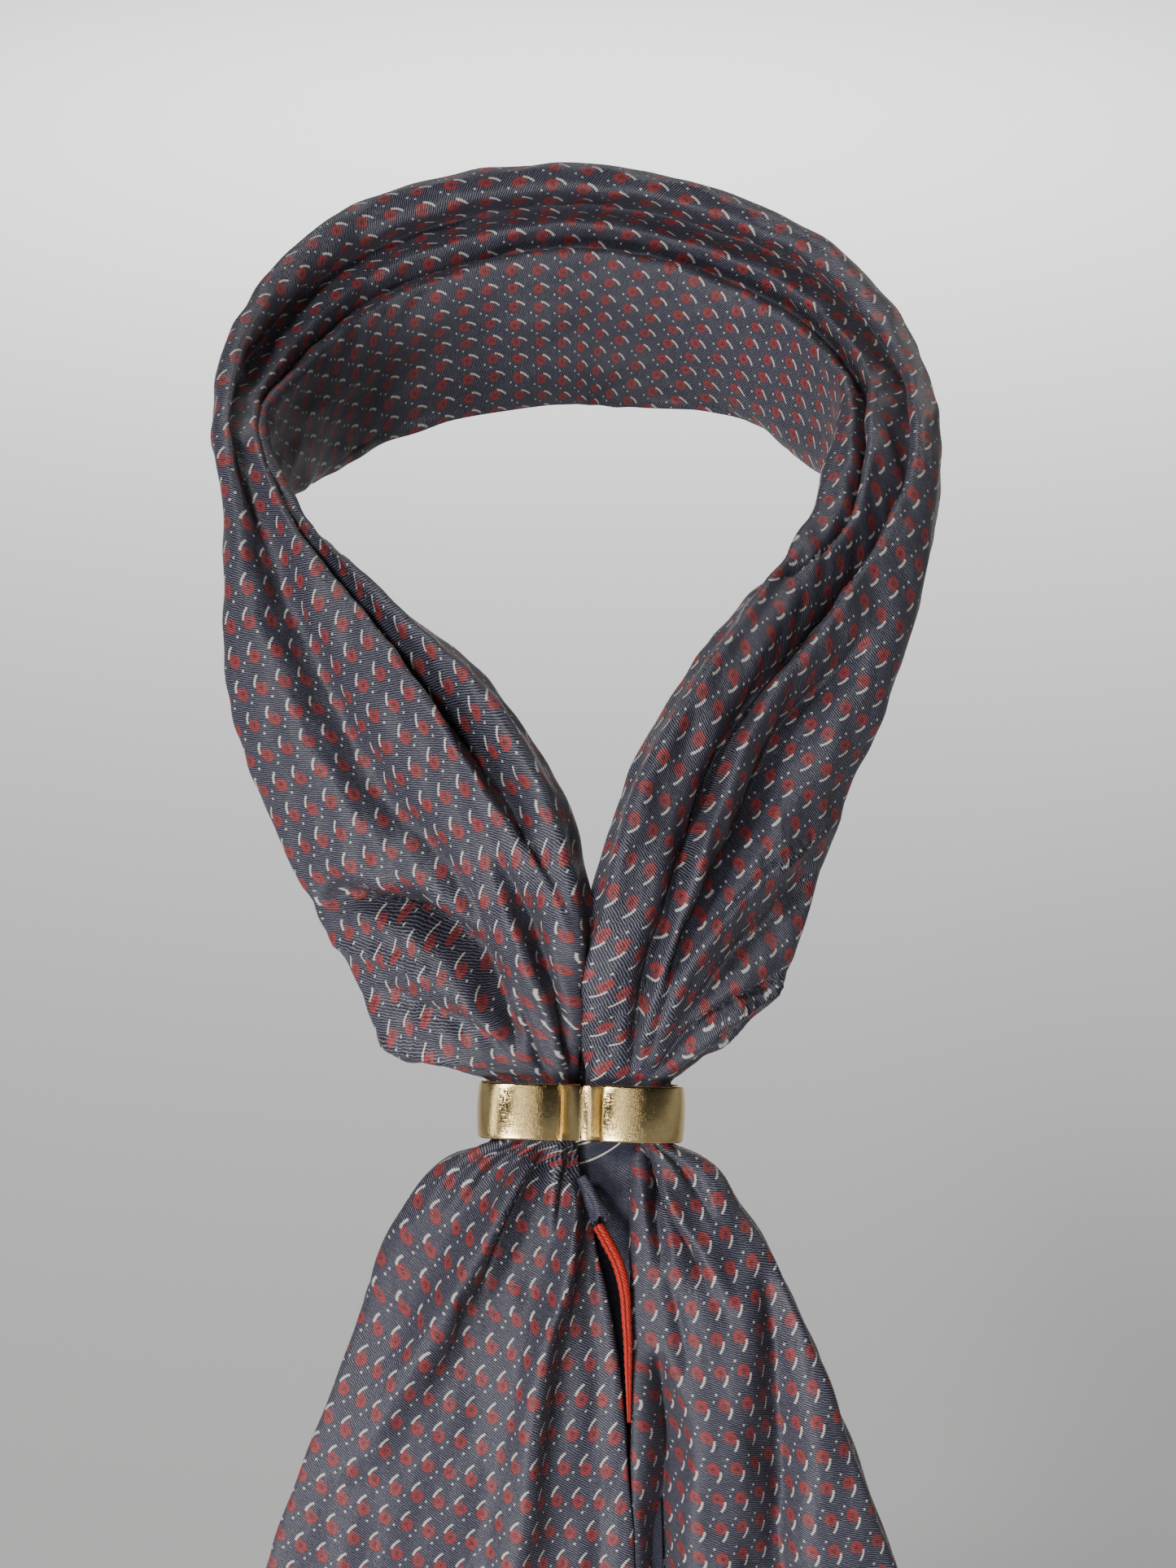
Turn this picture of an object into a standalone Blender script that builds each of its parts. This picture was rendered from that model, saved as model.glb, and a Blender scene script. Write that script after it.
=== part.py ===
"""Silk scarf worn round an open neck, both ends drawn through a gold figure-8 scarf ring.

Every stretch of cloth is one wall: a row of sections runs along it, each section is a line of folds between
an inner and an outer edge, and the wall is that surface with its thickness. Lengths in the tables are in
millimetres. The front of the scarf faces -Y, +Z is up, and the origin is the middle of the neck loop.
"""

import math

import bpy
import numpy as np

# ---- driving dimensions, millimetres ----
CLOTH_WALL = 1.0          # thickness of every cloth wall
SEAM_GAP = 0.5            # between neighbouring stretches along the cloth, so that their walls stay 0.3 apart
LEAST_BEND = 0.8          # smallest radius that the middle of a wall bends to, across a section
LEAST_ROOM = 1.4          # smallest distance between the middles of two layers in a section
EASE_PASSES = 40          # how often tight bends are opened and close layers parted
STEPS_PER_FOLD = 2        # faces across from one fold line to the next
FINE_STEPS = 4            # points to a face while the bends are eased
INNER_EDGE = 3            # which of a section's points is its inner edge
SHARP_ANGLE = 50.0        # degrees from which an edge shows sharp

RING_CENTRE = (-1.4, -82.0, -111.0)
RING_LEAN = 27.0          # degrees that the ring's top leans back, as the chest does
RING_ROLL = 1.8           # degrees that its right end hangs lower
RING_WIDTH = 42.0         # over both lobes
RING_DEPTH = 14.5
RING_HEIGHT = 11.4
RING_WALL = 1.2
RING_SQUARENESS = 2.5     # exponent of the lobe's oval: 2 is an ellipse
RING_SIDES = 40
RING_EDGE = 0.35          # rounding of the rims

# ---- the loop round the neck: a row for each section of a half, from beside the nape to the ring ----
# in_*: the edge towards the neck and the V.  out_*: the outer edge.
# hang: degrees from the section's own depth to the way its sides hang.
# face_in, face_out: how deep the two sides reach.  turn_in, turn_out: how far their hems turn under.
# steps: faces along the cloth from the section before.
# section, in_x, in_y, in_z, out_x, out_y, out_z, hang, face_in, face_out, turn_in, turn_out, steps
NAPE_RAIL = ("nape", -2, 60, 24, -5, 76, 42, 38, 37, 48, 1, 3, 0)
RIGHT_RAILS = (
    ("quarter", 41, 51, 12, 52, 62, 29, 36, 29, 42, 1, 4, 5),
    ("flank", 54, 28, 4, 70, 32, 15, 30, 21, 35, 2, 5, 3),
    ("side", 51, 4, -1, 73, 1, 5, 17, 14, 28, 4, 7, 3),
    ("turn", 46.5, -14, -8, 71, -17, -9, 4, 12, 20, 9, 10, 2),
    ("chest", 29, -45, -22, 62, -40, -38, 0, 11, 15, 14, 16, 4),
    ("middle", 12, -65, -44, 51, -52, -59, 0, 10, 14, 17, 19, 4),
    ("low", 5.6, -76, -60, 43, -66, -79, 0, 9, 13, 17, 19, 3),
    ("gather", 1.5, -82, -80, 34, -74, -94, 0, 7, 10, 13, 15, 3),
    ("brim", 1.2, -79.5, -99, 20, -77.7, -103.5, 0, 5, 5, 8, 8, 3),
    ("throat", 1.6, -79.3, -105, 16.2, -79.3, -105.3, 0, 3.2, 3.2, 6, 6, 1),
    ("ring", 1.6, -81.5, -109.9, 16.2, -81.6, -110.1, 0, 3.2, 3.2, 6, 6, 1),
)
LEFT_RAILS = (
    ("quarter", -45, 52, 14, -57, 63, 33.5, 44, 32, 44, 1, 4, 5),
    ("flank", -62, 30, 6, -75, 34, 21, 50, 26, 38, 2, 4, 3),
    ("side", -67, 4, 3, -77.5, 0, 9, 36, 18, 28, 3, 5, 3),
    ("turn", -58, -17, -8, -75, -18, -9, 12, 13, 20, 6, 7, 2),
    ("chest", -40, -36, -19, -73, -40, -38, 0, 11, 15, 13, 15, 4),
    ("middle", -20, -55, -32, -63, -54, -62, 0, 10, 14, 18, 20, 4),
    ("low", -4.6, -75, -56, -47, -67, -88, 0, 9, 13, 19, 21, 3),
    ("gather", -3.6, -83, -79, -38, -73, -104, 0, 7, 10, 13, 15, 3),
    ("brim", -4.0, -79.5, -99, -26, -76.4, -104.2, 0, 5, 5, 9, 9, 3),
    ("throat", -4.4, -79.3, -104.9, -19.2, -79.1, -105, 0, 3.2, 3.2, 6, 6, 1),
    ("ring", -4.4, -81.5, -109.9, -19.0, -81.5, -109.9, 0, 3.2, 3.2, 6, 6, 1),
)

# ---- the folds that run along the loop: a row for each, from the inner edge outwards ----
# Each pair is (across, lift): the share of the way from the inner to the outer edge, and the height.
# At the nape both halves share one section.
NAPE_FOLDS = ((.06, 2), (.28, -4), (.46, 1), (.60, -1), (.70, 1), (.78, 4), (.88, 4.5), (.94, 3), (.98, 1))
FOLD_KEYS = ("side", "chest", "middle", "low", "brim", "ring")
RIGHT_FOLDS = (
    ("inner roll", (.20, 3), (.06, -1.6), (.05, -.8), (.06, .2), (.06, 1.8), (.05, 1.6)),
    ("inner dip", (.44, -6), (.12, -1), (.12, .6), (.12, 1.5), (.14, 3), (.16, 3)),
    ("middle roll", (.60, 2), (.22, 1.5), (.24, 3.5), (.25, 4), (.28, 3.4), (.27, 2.8)),
    ("tuck", (.75, -1.4), (.50, -5), (.47, -4.5), (.48, -3.5), (.42, .8), (.38, 3.4)),
    ("outer edge", (.82, 1.8), (.47, 2.6), (.43, 3.4), (.42, 4), (.51, 3.4), (.49, 3)),
    ("outer dip", (.87, 3), (.60, 2), (.55, .5), (.54, -1), (.61, 1), (.60, 3.4)),
    ("outer roll", (.92, 3), (.74, 4), (.68, 4.5), (.64, 4.5), (.71, 2.8), (.72, 2.8)),
    ("low dip", (.96, 2), (.86, 2), (.80, 1.5), (.75, .4), (.82, .8), (.84, 3)),
    ("skirt", (.98, 1), (.94, 1.5), (.91, 2), (.88, 2.6), (.92, 1.8), (.95, 1.6)),
)
LEFT_FOLDS = (
    ("inner roll", (.06, -1.6), (.06, 1), (.06, 1), (.07, 1.5), (.07, 2.4), (.05, 1.6)),
    ("inner dip", (.18, -2.4), (.28, -3), (.37, -5), (.36, -4), (.20, 1), (.16, 3)),
    ("middle roll", (.32, .5), (.24, 2.4), (.33, 3.6), (.33, 3.6), (.29, 3.4), (.27, 2.8)),
    ("tuck", (.44, 1), (.35, 4.2), (.43, 5.2), (.44, 5.6), (.38, 3.8), (.38, 3.4)),
    ("outer edge", (.57, 2), (.46, 3), (.53, 4), (.57, 4.8), (.48, 3.2), (.49, 3)),
    ("outer dip", (.69, 2), (.54, 1), (.56, -1), (.58, -3), (.57, .8), (.60, 3.4)),
    ("outer roll", (.80, 2), (.70, 4), (.72, 4), (.68, 2.5), (.68, 1.8), (.72, 2.8)),
    ("low dip", (.90, 1.5), (.84, 3), (.84, 2.5), (.78, -2), (.79, 1.1), (.84, 3)),
    ("skirt", (.96, .8), (.94, 1.5), (.93, 2), (.90, 3.6), (.90, 1.3), (.95, 1.6)),
)

# ---- the tails: a row for each section, from the ring to the hem ----
# The columns are the loop's.
TAIL_KEYS = ("ring", "brim", "spread", "middle", "frame", "end", "hem")
LEFT_TAIL_RAILS = (
    ("ring", -4.4, -82.2, -111.4, -19.0, -82.2, -111.3, 0, 3.2, 3.2, 6, 6, 0),
    ("lip", -4.2, -84.7, -116.3, -19.2, -84.7, -116.3, 0, 3.2, 3.2, 5, 6, 1),
    ("brim", -3.0, -86, -118.8, -27.2, -86.1, -119, 0, 3.2, 4, 4, 7, 1),
    ("spread", 0.6, -94, -131, -38.5, -92, -131, 0, 4, 5, 3, 9, 3),
    ("middle", 5.0, -105, -154, -47, -102, -152, 0, 5, 6, 3, 12, 3),
    ("frame", 8.4, -115, -190, -61, -112, -188, 0, 5, 6, 3, 15, 3),
    ("end", 9.2, -118, -225, -72, -116, -225, 0, 4.5, 6, 3, 16, 2),
    ("hem", 9.8, -119, -262, -81, -117, -265, 0, 4, 5, 3, 16, 2),
)
LEFT_TAIL_FOLDS = (
    ("pleat 1", (.05, 1.4), (.05, 1), (.04, .5), (.03, .3), (.03, 0), (.03, 0), (.03, 0)),
    ("dip 1", (.16, 2.4), (.13, 0), (.10, -2), (.08, -2.5), (.08, -2), (.09, -1), (.09, 0)),
    ("pleat 2", (.27, 3.2), (.23, 2.4), (.19, 3), (.16, 3), (.15, 2.5), (.17, 3), (.18, 4)),
    ("dip 2", (.38, 2.6), (.35, .6), (.31, -2), (.28, -2), (.26, -.5), (.28, 0), (.29, 0)),
    ("pleat 3", (.49, 3.4), (.46, 2.8), (.43, 4), (.39, 3.5), (.36, 2.5), (.38, 3), (.40, 4)),
    ("dip 3", (.60, 2.6), (.60, .6), (.59, -3), (.54, -2.5), (.47, 0), (.48, .5), (.51, 0)),
    ("pleat 4", (.72, 3.2), (.73, 2.8), (.71, 4.5), (.68, 4), (.62, 3), (.62, 3), (.64, 4)),
    ("dip 4", (.84, 2.4), (.84, 1.2), (.84, 1), (.83, 1), (.80, 1), (.78, 0), (.78, 0)),
    ("pleat 5", (.95, 1.4), (.94, 1.4), (.93, 2), (.93, 2), (.92, 2), (.92, 2), (.92, 3)),
)
RIGHT_TAIL_RAILS = (
    ("ring", 10.2, -82.2, -111.4, 16.4, -82.3, -111.6, 0, 3.2, 3.2, 2, 2, 0),
    ("lip", 10.2, -85.1, -117, 16.6, -85.1, -117.1, 0, 3.2, 3.2, 2, 2, 1),
    ("brim", 10.0, -86.2, -119.2, 21.6, -86.2, -119.2, 0, 3.2, 4, 3, 4, 1),
    ("spread", 9.6, -93, -131, 31.5, -92, -129, 0, 4, 5, 3, 7, 3),
    ("middle", 9.5, -104, -154, 43, -102, -149, 0, 5, 6, 3, 12, 3),
    ("frame", 10.8, -114, -190, 58, -112, -188, 0, 5.5, 6, 3, 15, 3),
    ("end", 12.0, -117, -225, 70, -116, -225, 0, 5, 6, 3, 16, 2),
    ("hem", 13.2, -118, -265, 82, -117, -262, 0, 4, 5, 3, 16, 2),
)
RIGHT_TAIL_FOLDS = (
    ("pleat 1", (.08, .8), (.10, 1.2), (.10, 1.5), (.08, 1.5), (.05, 1.5), (.05, 1.5), (.05, 2)),
    ("dip 1", (.18, 1.3), (.22, .8), (.20, -2), (.17, -3), (.17, -4), (.16, -3), (.16, -2)),
    ("pleat 2", (.30, 1.7), (.34, 1.9), (.34, 3), (.32, 3), (.29, 3.5), (.27, 3), (.27, 3)),
    ("dip 2", (.42, 1.9), (.46, 1.3), (.48, -1), (.46, 0), (.38, 2), (.38, 1), (.38, 0)),
    ("pleat 3", (.54, 2), (.57, 2.1), (.60, 3), (.62, 3.5), (.46, 3), (.49, 3), (.50, 4)),
    ("dip 3", (.66, 1.9), (.67, 1.4), (.71, 1), (.75, 2), (.58, 0), (.60, 0), (.61, 0)),
    ("pleat 4", (.77, 1.7), (.78, 1.9), (.81, 3), (.84, 3), (.72, 3), (.72, 3), (.73, 4)),
    ("dip 4", (.87, 1.3), (.88, 1.4), (.90, 1.5), (.92, 1), (.86, 2), (.85, 1), (.85, 0)),
    ("pleat 5", (.95, .8), (.95, 1), (.96, 2), (.97, 1), (.95, 2), (.95, 2), (.95, 3)),
)

# ---- the border between the tails ----
# The panel: section, left edge, right edge, y, z.
BORDER_ROWS = (
    ("ring", 0.6, 8.4, -83.0, -112.2),
    ("brim", 0.2, 8.2, -83.0, -118.5),
    ("spread", 0.2, 8.4, -86.0, -129.0),
    ("middle", 1.5, 11.5, -94.0, -150.0),
    ("end", 3.0, 13.0, -99.0, -168.0),
)
BORDER_BOW = 0.9          # how far its middle stands forward
BORDER_FACES_ACROSS = 6
BORDER_FACES_DOWN = 12
# The hem: section, distance from the left tail's inner edge, half width, place down the tail.
HEM_ROWS = (
    ("top", 1.2, 0.7, 24.0),
    ("upper", 2.0, 1.8, 32.0),
    ("middle", 1.9, 1.8, 45.0),
    ("lower", 1.4, 1.1, 58.0),
    ("tip", 1.0, 0.4, 68.0),
)
HEM_DEPTH = 0.55          # half the hem's thickness
HEM_STAND = 1.5           # how far its middle stands in front of the tail's edge
HEM_SIDES = 8
HEM_FACES_DOWN = 16


def clear_scene():
    for thing in list(bpy.data.objects):
        bpy.data.objects.remove(thing, do_unlink=True)


def material(name, colour, roughness, metallic=0.0):
    """A Principled finish in one colour."""
    made = bpy.data.materials.new(name)
    made.use_nodes = True
    shader = made.node_tree.nodes["Principled BSDF"]
    shader.inputs["Base Color"].default_value = (*colour, 1.0)
    shader.inputs["Roughness"].default_value = roughness
    shader.inputs["Metallic"].default_value = metallic
    made.diffuse_color = (*colour, 1.0)
    return made


def through(knots, rows, at):
    """A smooth line through rows, one for each knot, read at the places in at."""
    knots = np.asarray(knots, float)
    rows = np.asarray(rows, float)
    slopes = np.gradient(rows, knots, axis=0)
    spans = np.clip(np.searchsorted(knots, at, side="right") - 1, 0, len(knots) - 2)
    width = (knots[spans + 1] - knots[spans])[:, None]
    part = (np.asarray(at)[:, None] - knots[spans][:, None]) / width
    start, end = rows[spans], rows[spans + 1]
    leave, arrive = slopes[spans] * width, slopes[spans + 1] * width
    return (start * (1 + 2 * part) * (1 - part) ** 2 + leave * part * (1 - part) ** 2
            + end * part ** 2 * (3 - 2 * part) + arrive * part ** 2 * (part - 1))


def unit(vectors):
    return vectors / np.linalg.norm(vectors, axis=-1, keepdims=True)


def rounded(points, steps):
    """Each row of points as a smooth line through them, with steps faces from one point to the next."""
    before = 2 * points[:, :1] - points[:, 1:2]
    after = 2 * points[:, -1:] - points[:, -2:-1]
    full = np.concatenate([before, points, after], axis=1)
    gaps = np.sqrt(np.linalg.norm(np.diff(full, axis=1), axis=2, keepdims=True)) + 1e-6
    lines = []
    for place in range(1, full.shape[1] - 2):
        p0, p1, p2, p3 = (full[:, place + k] for k in (-1, 0, 1, 2))
        d0, d1, d2 = (gaps[:, place + k] for k in (-1, 0, 1))
        leave = d1 * ((p1 - p0) / d0 - (p2 - p0) / (d0 + d1) + (p2 - p1) / d1)
        arrive = d1 * ((p2 - p1) / d1 - (p3 - p1) / (d1 + d2) + (p3 - p2) / d2)
        for step in range(steps):
            s = step / steps
            lines.append(p1 * (1 + 2 * s) * (1 - s) ** 2 + leave * s * (1 - s) ** 2
                         + p2 * s ** 2 * (3 - 2 * s) + arrive * s ** 2 * (s - 1))
    lines.append(full[:, -2])
    return np.stack(lines, axis=1)


def stretch_surface(rails, fold_rows, keys, side=1):
    """The cloth's middle surface along one stretch, as a function of places in millimetres along it.

    fold_rows has a row for each key section, with its folds' pairs one after another. side is -1 where the
    outer edge is on the left of the way along, as the front sees it.
    """
    names = [row[0] for row in rails]
    table = np.array([row[1:12] for row in rails], float)
    middle = (table[:, 0:3] + table[:, 3:6]) / 2
    knots = np.concatenate([[0], np.cumsum(np.linalg.norm(np.diff(middle, axis=0), axis=1))])
    key_knots = [knots[names.index(key)] for key in keys]

    def surface(at):
        at = np.asarray(at, float)
        row = through(knots, table, at)
        inner, outer = row[:, 0:3], row[:, 3:6]
        ahead = through(knots, middle, at + 0.5) - through(knots, middle, at - 0.5)
        width = outer - inner
        lift = unit(side * np.cross(ahead, width))
        across = unit(width)
        hang = np.radians(row[:, 6:7])
        down = -lift * np.cos(hang) - across * np.sin(hang)
        outward = across * np.cos(hang) - lift * np.sin(hang)
        face_in, face_out, turn_in, turn_out = (row[:, k:k + 1] for k in (7, 8, 9, 10))
        pairs = through(key_knots, fold_rows, at)
        line = [inner + down * face_in + outward * turn_in,
                inner + down * face_in * 0.93,
                inner + down * face_in * 0.45,
                inner]
        for k in range(0, pairs.shape[1], 2):
            line.append(inner + width * pairs[:, k:k + 1] + lift * pairs[:, k + 1:k + 2])
        line += [outer,
                 outer + down * face_out * 0.30 + outward * 0.045 * face_out,
                 outer + down * face_out * 0.52 - outward * 0.02 * face_out,
                 outer + down * face_out * 0.76 + outward * 0.03 * face_out,
                 outer + down * face_out * 0.95,
                 outer + down * face_out - outward * turn_out]
        return np.stack(line, axis=1)

    return surface, knots


def add_solid(name, points, faces, finish):
    mesh = bpy.data.meshes.new(name)
    mesh.from_pydata([tuple(p) for p in np.asarray(points) * 0.001], [], faces)
    mesh.validate()
    mesh.shade_smooth()
    mesh.set_sharp_from_angle(angle=math.radians(SHARP_ANGLE))
    mesh.materials.append(finish)
    solid = bpy.data.objects.new(name, mesh)
    bpy.context.collection.objects.link(solid)
    return solid


def spaced(knots, steps):
    """Places along a stretch: each knot's own, and as many steps between two as the table says."""
    spans = [np.linspace(a, b, count, endpoint=False) for a, b, count in zip(knots, knots[1:], steps)]
    return np.concatenate(spans + [knots[-1:]])


def normals(grid):
    """Which way each point of a grid faces, with rows along the stretch and columns across."""
    return unit(np.cross(np.gradient(grid, axis=0), np.gradient(grid, axis=1)))


def eased(lines):
    """The sections with bends opened as far as the wall's thickness needs and close layers parted."""
    lines = lines.copy()
    for _ in range(EASE_PASSES):
        bend = lines[:, 2:] + lines[:, :-2] - 2 * lines[:, 1:-1]
        reach = np.linalg.norm(lines[:, 2:] - lines[:, :-2], axis=2) / 2
        tight = np.linalg.norm(bend, axis=2) > reach ** 2 / LEAST_BEND
        lines[:, 1:-1][tight] += bend[tight] / 4
        steps = np.linalg.norm(np.diff(lines, axis=1), axis=2)
        along = np.concatenate([np.zeros((len(lines), 1)), np.cumsum(steps, axis=1)], axis=1)
        apart = lines[:, :, None] - lines[:, None]
        distance = np.linalg.norm(apart, axis=3)
        close = (distance < LEAST_ROOM) & (abs(along[:, :, None] - along[:, None]) > 2.5 * LEAST_ROOM)
        push = np.where(close, (LEAST_ROOM - distance) / np.maximum(distance, 0.1) / 3, 0)
        crowd = np.maximum(close.sum(axis=2), 1)[:, :, None]
        lines += (apart * push[..., None]).sum(axis=2) / crowd
    return lines


def sections(surface, places):
    """The stretch's grid: rows at the places along it, columns at its folds and between them."""
    return eased(rounded(surface(places), STEPS_PER_FOLD * FINE_STEPS))[:, ::FINE_STEPS]


def cloth_wall(name, grid, facing, finish):
    """A closed wall of even thickness about a grid of points."""
    rows, columns = grid.shape[:2]
    points = np.concatenate([(grid + facing * CLOTH_WALL / 2).reshape(-1, 3),
                             (grid - facing * CLOTH_WALL / 2).reshape(-1, 3)])
    under = rows * columns

    def at(row, column):
        return row * columns + column

    faces = []
    for r in range(rows - 1):
        for c in range(columns - 1):
            quad = (at(r, c), at(r + 1, c), at(r + 1, c + 1), at(r, c + 1))
            faces.append(quad)
            faces.append(tuple(under + k for k in reversed(quad)))
    rim = [at(0, c) for c in range(columns)] + [at(r, columns - 1) for r in range(1, rows)]
    rim += [at(rows - 1, c) for c in range(columns - 2, -1, -1)] + [at(r, 0) for r in range(rows - 2, 0, -1)]
    for a, b in zip(rim, rim[1:] + rim[:1]):
        faces.append((a, b, under + b, under + a))
    return add_solid(name, points, faces, finish)


def fold_table(folds):
    """A row for each key section, with the folds' pairs one after another."""
    return np.array([[value for fold in folds for value in fold[1 + key]] for key in range(len(folds[0]) - 1)])


def build_loop(silk):
    """The band behind the neck and the two fronts: one surface, parted at its sides by the seam gap."""
    rails = [("left " + row[0], *row[1:]) for row in reversed(LEFT_RAILS)]
    rails += [NAPE_RAIL] + [("right " + row[0], *row[1:]) for row in RIGHT_RAILS]
    nape = [[value for pair in NAPE_FOLDS for value in pair]]
    folds = np.concatenate([fold_table(LEFT_FOLDS)[::-1], nape, fold_table(RIGHT_FOLDS)])
    keys = ["left " + key for key in reversed(FOLD_KEYS)] + ["nape"] + ["right " + key for key in FOLD_KEYS]
    surface, knots = stretch_surface(rails, folds, keys)
    steps = [row[-1] for row in reversed(LEFT_RAILS)] + [row[-1] for row in RIGHT_RAILS]
    grid = sections(surface, spaced(knots, steps))
    facing = normals(grid)
    names = [row[0] for row in rails]
    seams = [sum(steps[:names.index(side)]) for side in ("left side", "right side")]
    bounds = (0, *seams, len(grid) - 1)
    for name, first, last in zip(("front_left", "neck_back", "front_right"), bounds, bounds[1:]):
        part = grid[first:last + 1].copy()
        for row, seam, way in ((0, first, 1), (-1, last, -1)):
            if seam in seams:
                ahead = unit(np.cross(np.gradient(grid[seam], axis=0), facing[seam]))
                part[row] += way * SEAM_GAP / 2 * ahead
        cloth_wall(name, part, facing[first:last + 1], silk)


def build_tails(silk, navy, red):
    """The two ends below the ring, the border panel behind the gap between them, and its rolled hem."""
    for name, rails, folds, side in (("tail_left", LEFT_TAIL_RAILS, LEFT_TAIL_FOLDS, -1),
                                     ("tail_right", RIGHT_TAIL_RAILS, RIGHT_TAIL_FOLDS, 1)):
        surface, knots = stretch_surface(rails, fold_table(folds), TAIL_KEYS, side)
        grid = sections(surface, spaced(knots, [row[-1] for row in rails[1:]]))
        cloth_wall(name, grid, normals(grid), silk)
        if name == "tail_left":
            build_hem(surface, red)
    rows = np.array([row[1:] for row in BORDER_ROWS], float)
    grid = []
    shares = np.linspace(0, 1, BORDER_FACES_ACROSS + 1)
    places = np.linspace(0, len(rows) - 1, BORDER_FACES_DOWN + 1)
    for left, right, y, z in through(np.arange(len(rows)), rows, places):
        grid.append([(left + (right - left) * s, y - BORDER_BOW * math.sin(math.pi * s), z) for s in shares])
    grid = np.array(grid)
    cloth_wall("border_panel", grid, normals(grid), navy)


def build_hem(tail, red):
    """The rolled hem: a flat roll in front of the left tail's inner edge, tapered at both ends."""
    rows = np.array([row[1:] for row in HEM_ROWS], float)
    levels = through(np.arange(len(rows)), rows, np.linspace(0, len(rows) - 1, HEM_FACES_DOWN + 1))
    edge = tail(levels[:, 2])[:, INNER_EDGE]
    points, faces = [], []
    for (off_edge, half_width, _), (x, y, z) in zip(levels, edge):
        for k in range(HEM_SIDES):
            turn = 2 * math.pi * k / HEM_SIDES
            points.append((x + off_edge + half_width * math.cos(turn),
                           y - HEM_STAND + HEM_DEPTH * math.sin(turn), z))
    for r in range(len(levels) - 1):
        this, after = r * HEM_SIDES, (r + 1) * HEM_SIDES
        for k in range(HEM_SIDES):
            n = (k + 1) % HEM_SIDES
            faces.append((this + k, after + k, after + n, this + n))
    faces.append(tuple(range(HEM_SIDES)))
    last = (len(levels) - 1) * HEM_SIDES
    faces.append(tuple(last + k for k in reversed(range(HEM_SIDES))))
    add_solid("red_hem", points, faces, red)


def lobe_outline(width, depth):
    """An oval with full sides, as points round the ring's axis."""
    outline = []
    for k in range(RING_SIDES):
        turn = 2 * math.pi * k / RING_SIDES
        reach = (abs(math.cos(turn)) ** RING_SQUARENESS + abs(math.sin(turn)) ** RING_SQUARENESS)
        reach **= -1 / RING_SQUARENESS
        outline.append((width / 2 * reach * math.cos(turn), depth / 2 * reach * math.sin(turn)))
    return outline


def lobe_tube(name, centre, width, finish):
    """One lobe of the ring: an upright oval tube with rounded rims."""
    rings = ((0, -RING_HEIGHT / 2 + RING_EDGE), (0, RING_HEIGHT / 2 - RING_EDGE),
             (RING_EDGE, RING_HEIGHT / 2), (RING_WALL - RING_EDGE, RING_HEIGHT / 2),
             (RING_WALL, RING_HEIGHT / 2 - RING_EDGE), (RING_WALL, -RING_HEIGHT / 2 + RING_EDGE),
             (RING_WALL - RING_EDGE, -RING_HEIGHT / 2), (RING_EDGE, -RING_HEIGHT / 2))
    points, faces = [], []
    for inset, height in rings:
        for x, y in lobe_outline(width - 2 * inset, RING_DEPTH - 2 * inset):
            points.append((centre + x, y, height))
    count = len(rings)
    for r in range(count):
        for k in range(RING_SIDES):
            n = (k + 1) % RING_SIDES
            nxt = (r + 1) % count
            faces.append((r * RING_SIDES + k, r * RING_SIDES + n, nxt * RING_SIDES + n, nxt * RING_SIDES + k))
    return add_solid(name, points, faces, finish)


def build_ring(gold):
    """The figure-8 ring: two lobes that share their middle wall."""
    lobe_width = (RING_WIDTH + RING_WALL) / 2
    ring = lobe_tube("scarf_ring", -(RING_WIDTH - lobe_width) / 2, lobe_width, gold)
    other = lobe_tube("ring_lobe_guide", (RING_WIDTH - lobe_width) / 2, lobe_width, gold)
    other.hide_render = True
    other.display_type = "WIRE"
    join = ring.modifiers.new("lobes", "BOOLEAN")
    join.operation = "UNION"
    join.object = other
    for lobe in (ring, other):
        lobe.location = [value * 0.001 for value in RING_CENTRE]
        lobe.rotation_euler = (math.radians(-RING_LEAN), math.radians(RING_ROLL), 0)


clear_scene()
SILK = material("printed silk", (0.045, 0.047, 0.085), 0.45)
NAVY = material("navy border silk", (0.03, 0.035, 0.075), 0.45)
RED = material("red rolled hem", (0.55, 0.05, 0.03), 0.5)
GOLD = material("polished gold", (0.80, 0.58, 0.25), 0.18, 1.0)
build_loop(SILK)
build_tails(SILK, NAVY, RED)
build_ring(GOLD)
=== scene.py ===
import functools
import math

import bpy
import mathutils
import numpy as np
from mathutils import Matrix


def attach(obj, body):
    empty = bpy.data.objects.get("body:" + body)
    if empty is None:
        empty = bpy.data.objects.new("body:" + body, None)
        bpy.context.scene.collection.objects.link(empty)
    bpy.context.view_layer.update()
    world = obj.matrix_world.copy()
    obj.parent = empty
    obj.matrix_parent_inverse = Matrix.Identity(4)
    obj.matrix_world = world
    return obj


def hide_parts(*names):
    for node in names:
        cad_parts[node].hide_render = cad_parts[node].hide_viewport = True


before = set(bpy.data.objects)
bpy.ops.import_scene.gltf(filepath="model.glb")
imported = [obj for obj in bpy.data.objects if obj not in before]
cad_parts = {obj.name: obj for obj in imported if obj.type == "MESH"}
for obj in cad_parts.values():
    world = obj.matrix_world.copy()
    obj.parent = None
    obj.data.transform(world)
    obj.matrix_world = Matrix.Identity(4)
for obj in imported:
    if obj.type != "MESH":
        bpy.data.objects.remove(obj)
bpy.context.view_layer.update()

scene = bpy.context.scene
noise = np.random.default_rng(7)

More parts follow.
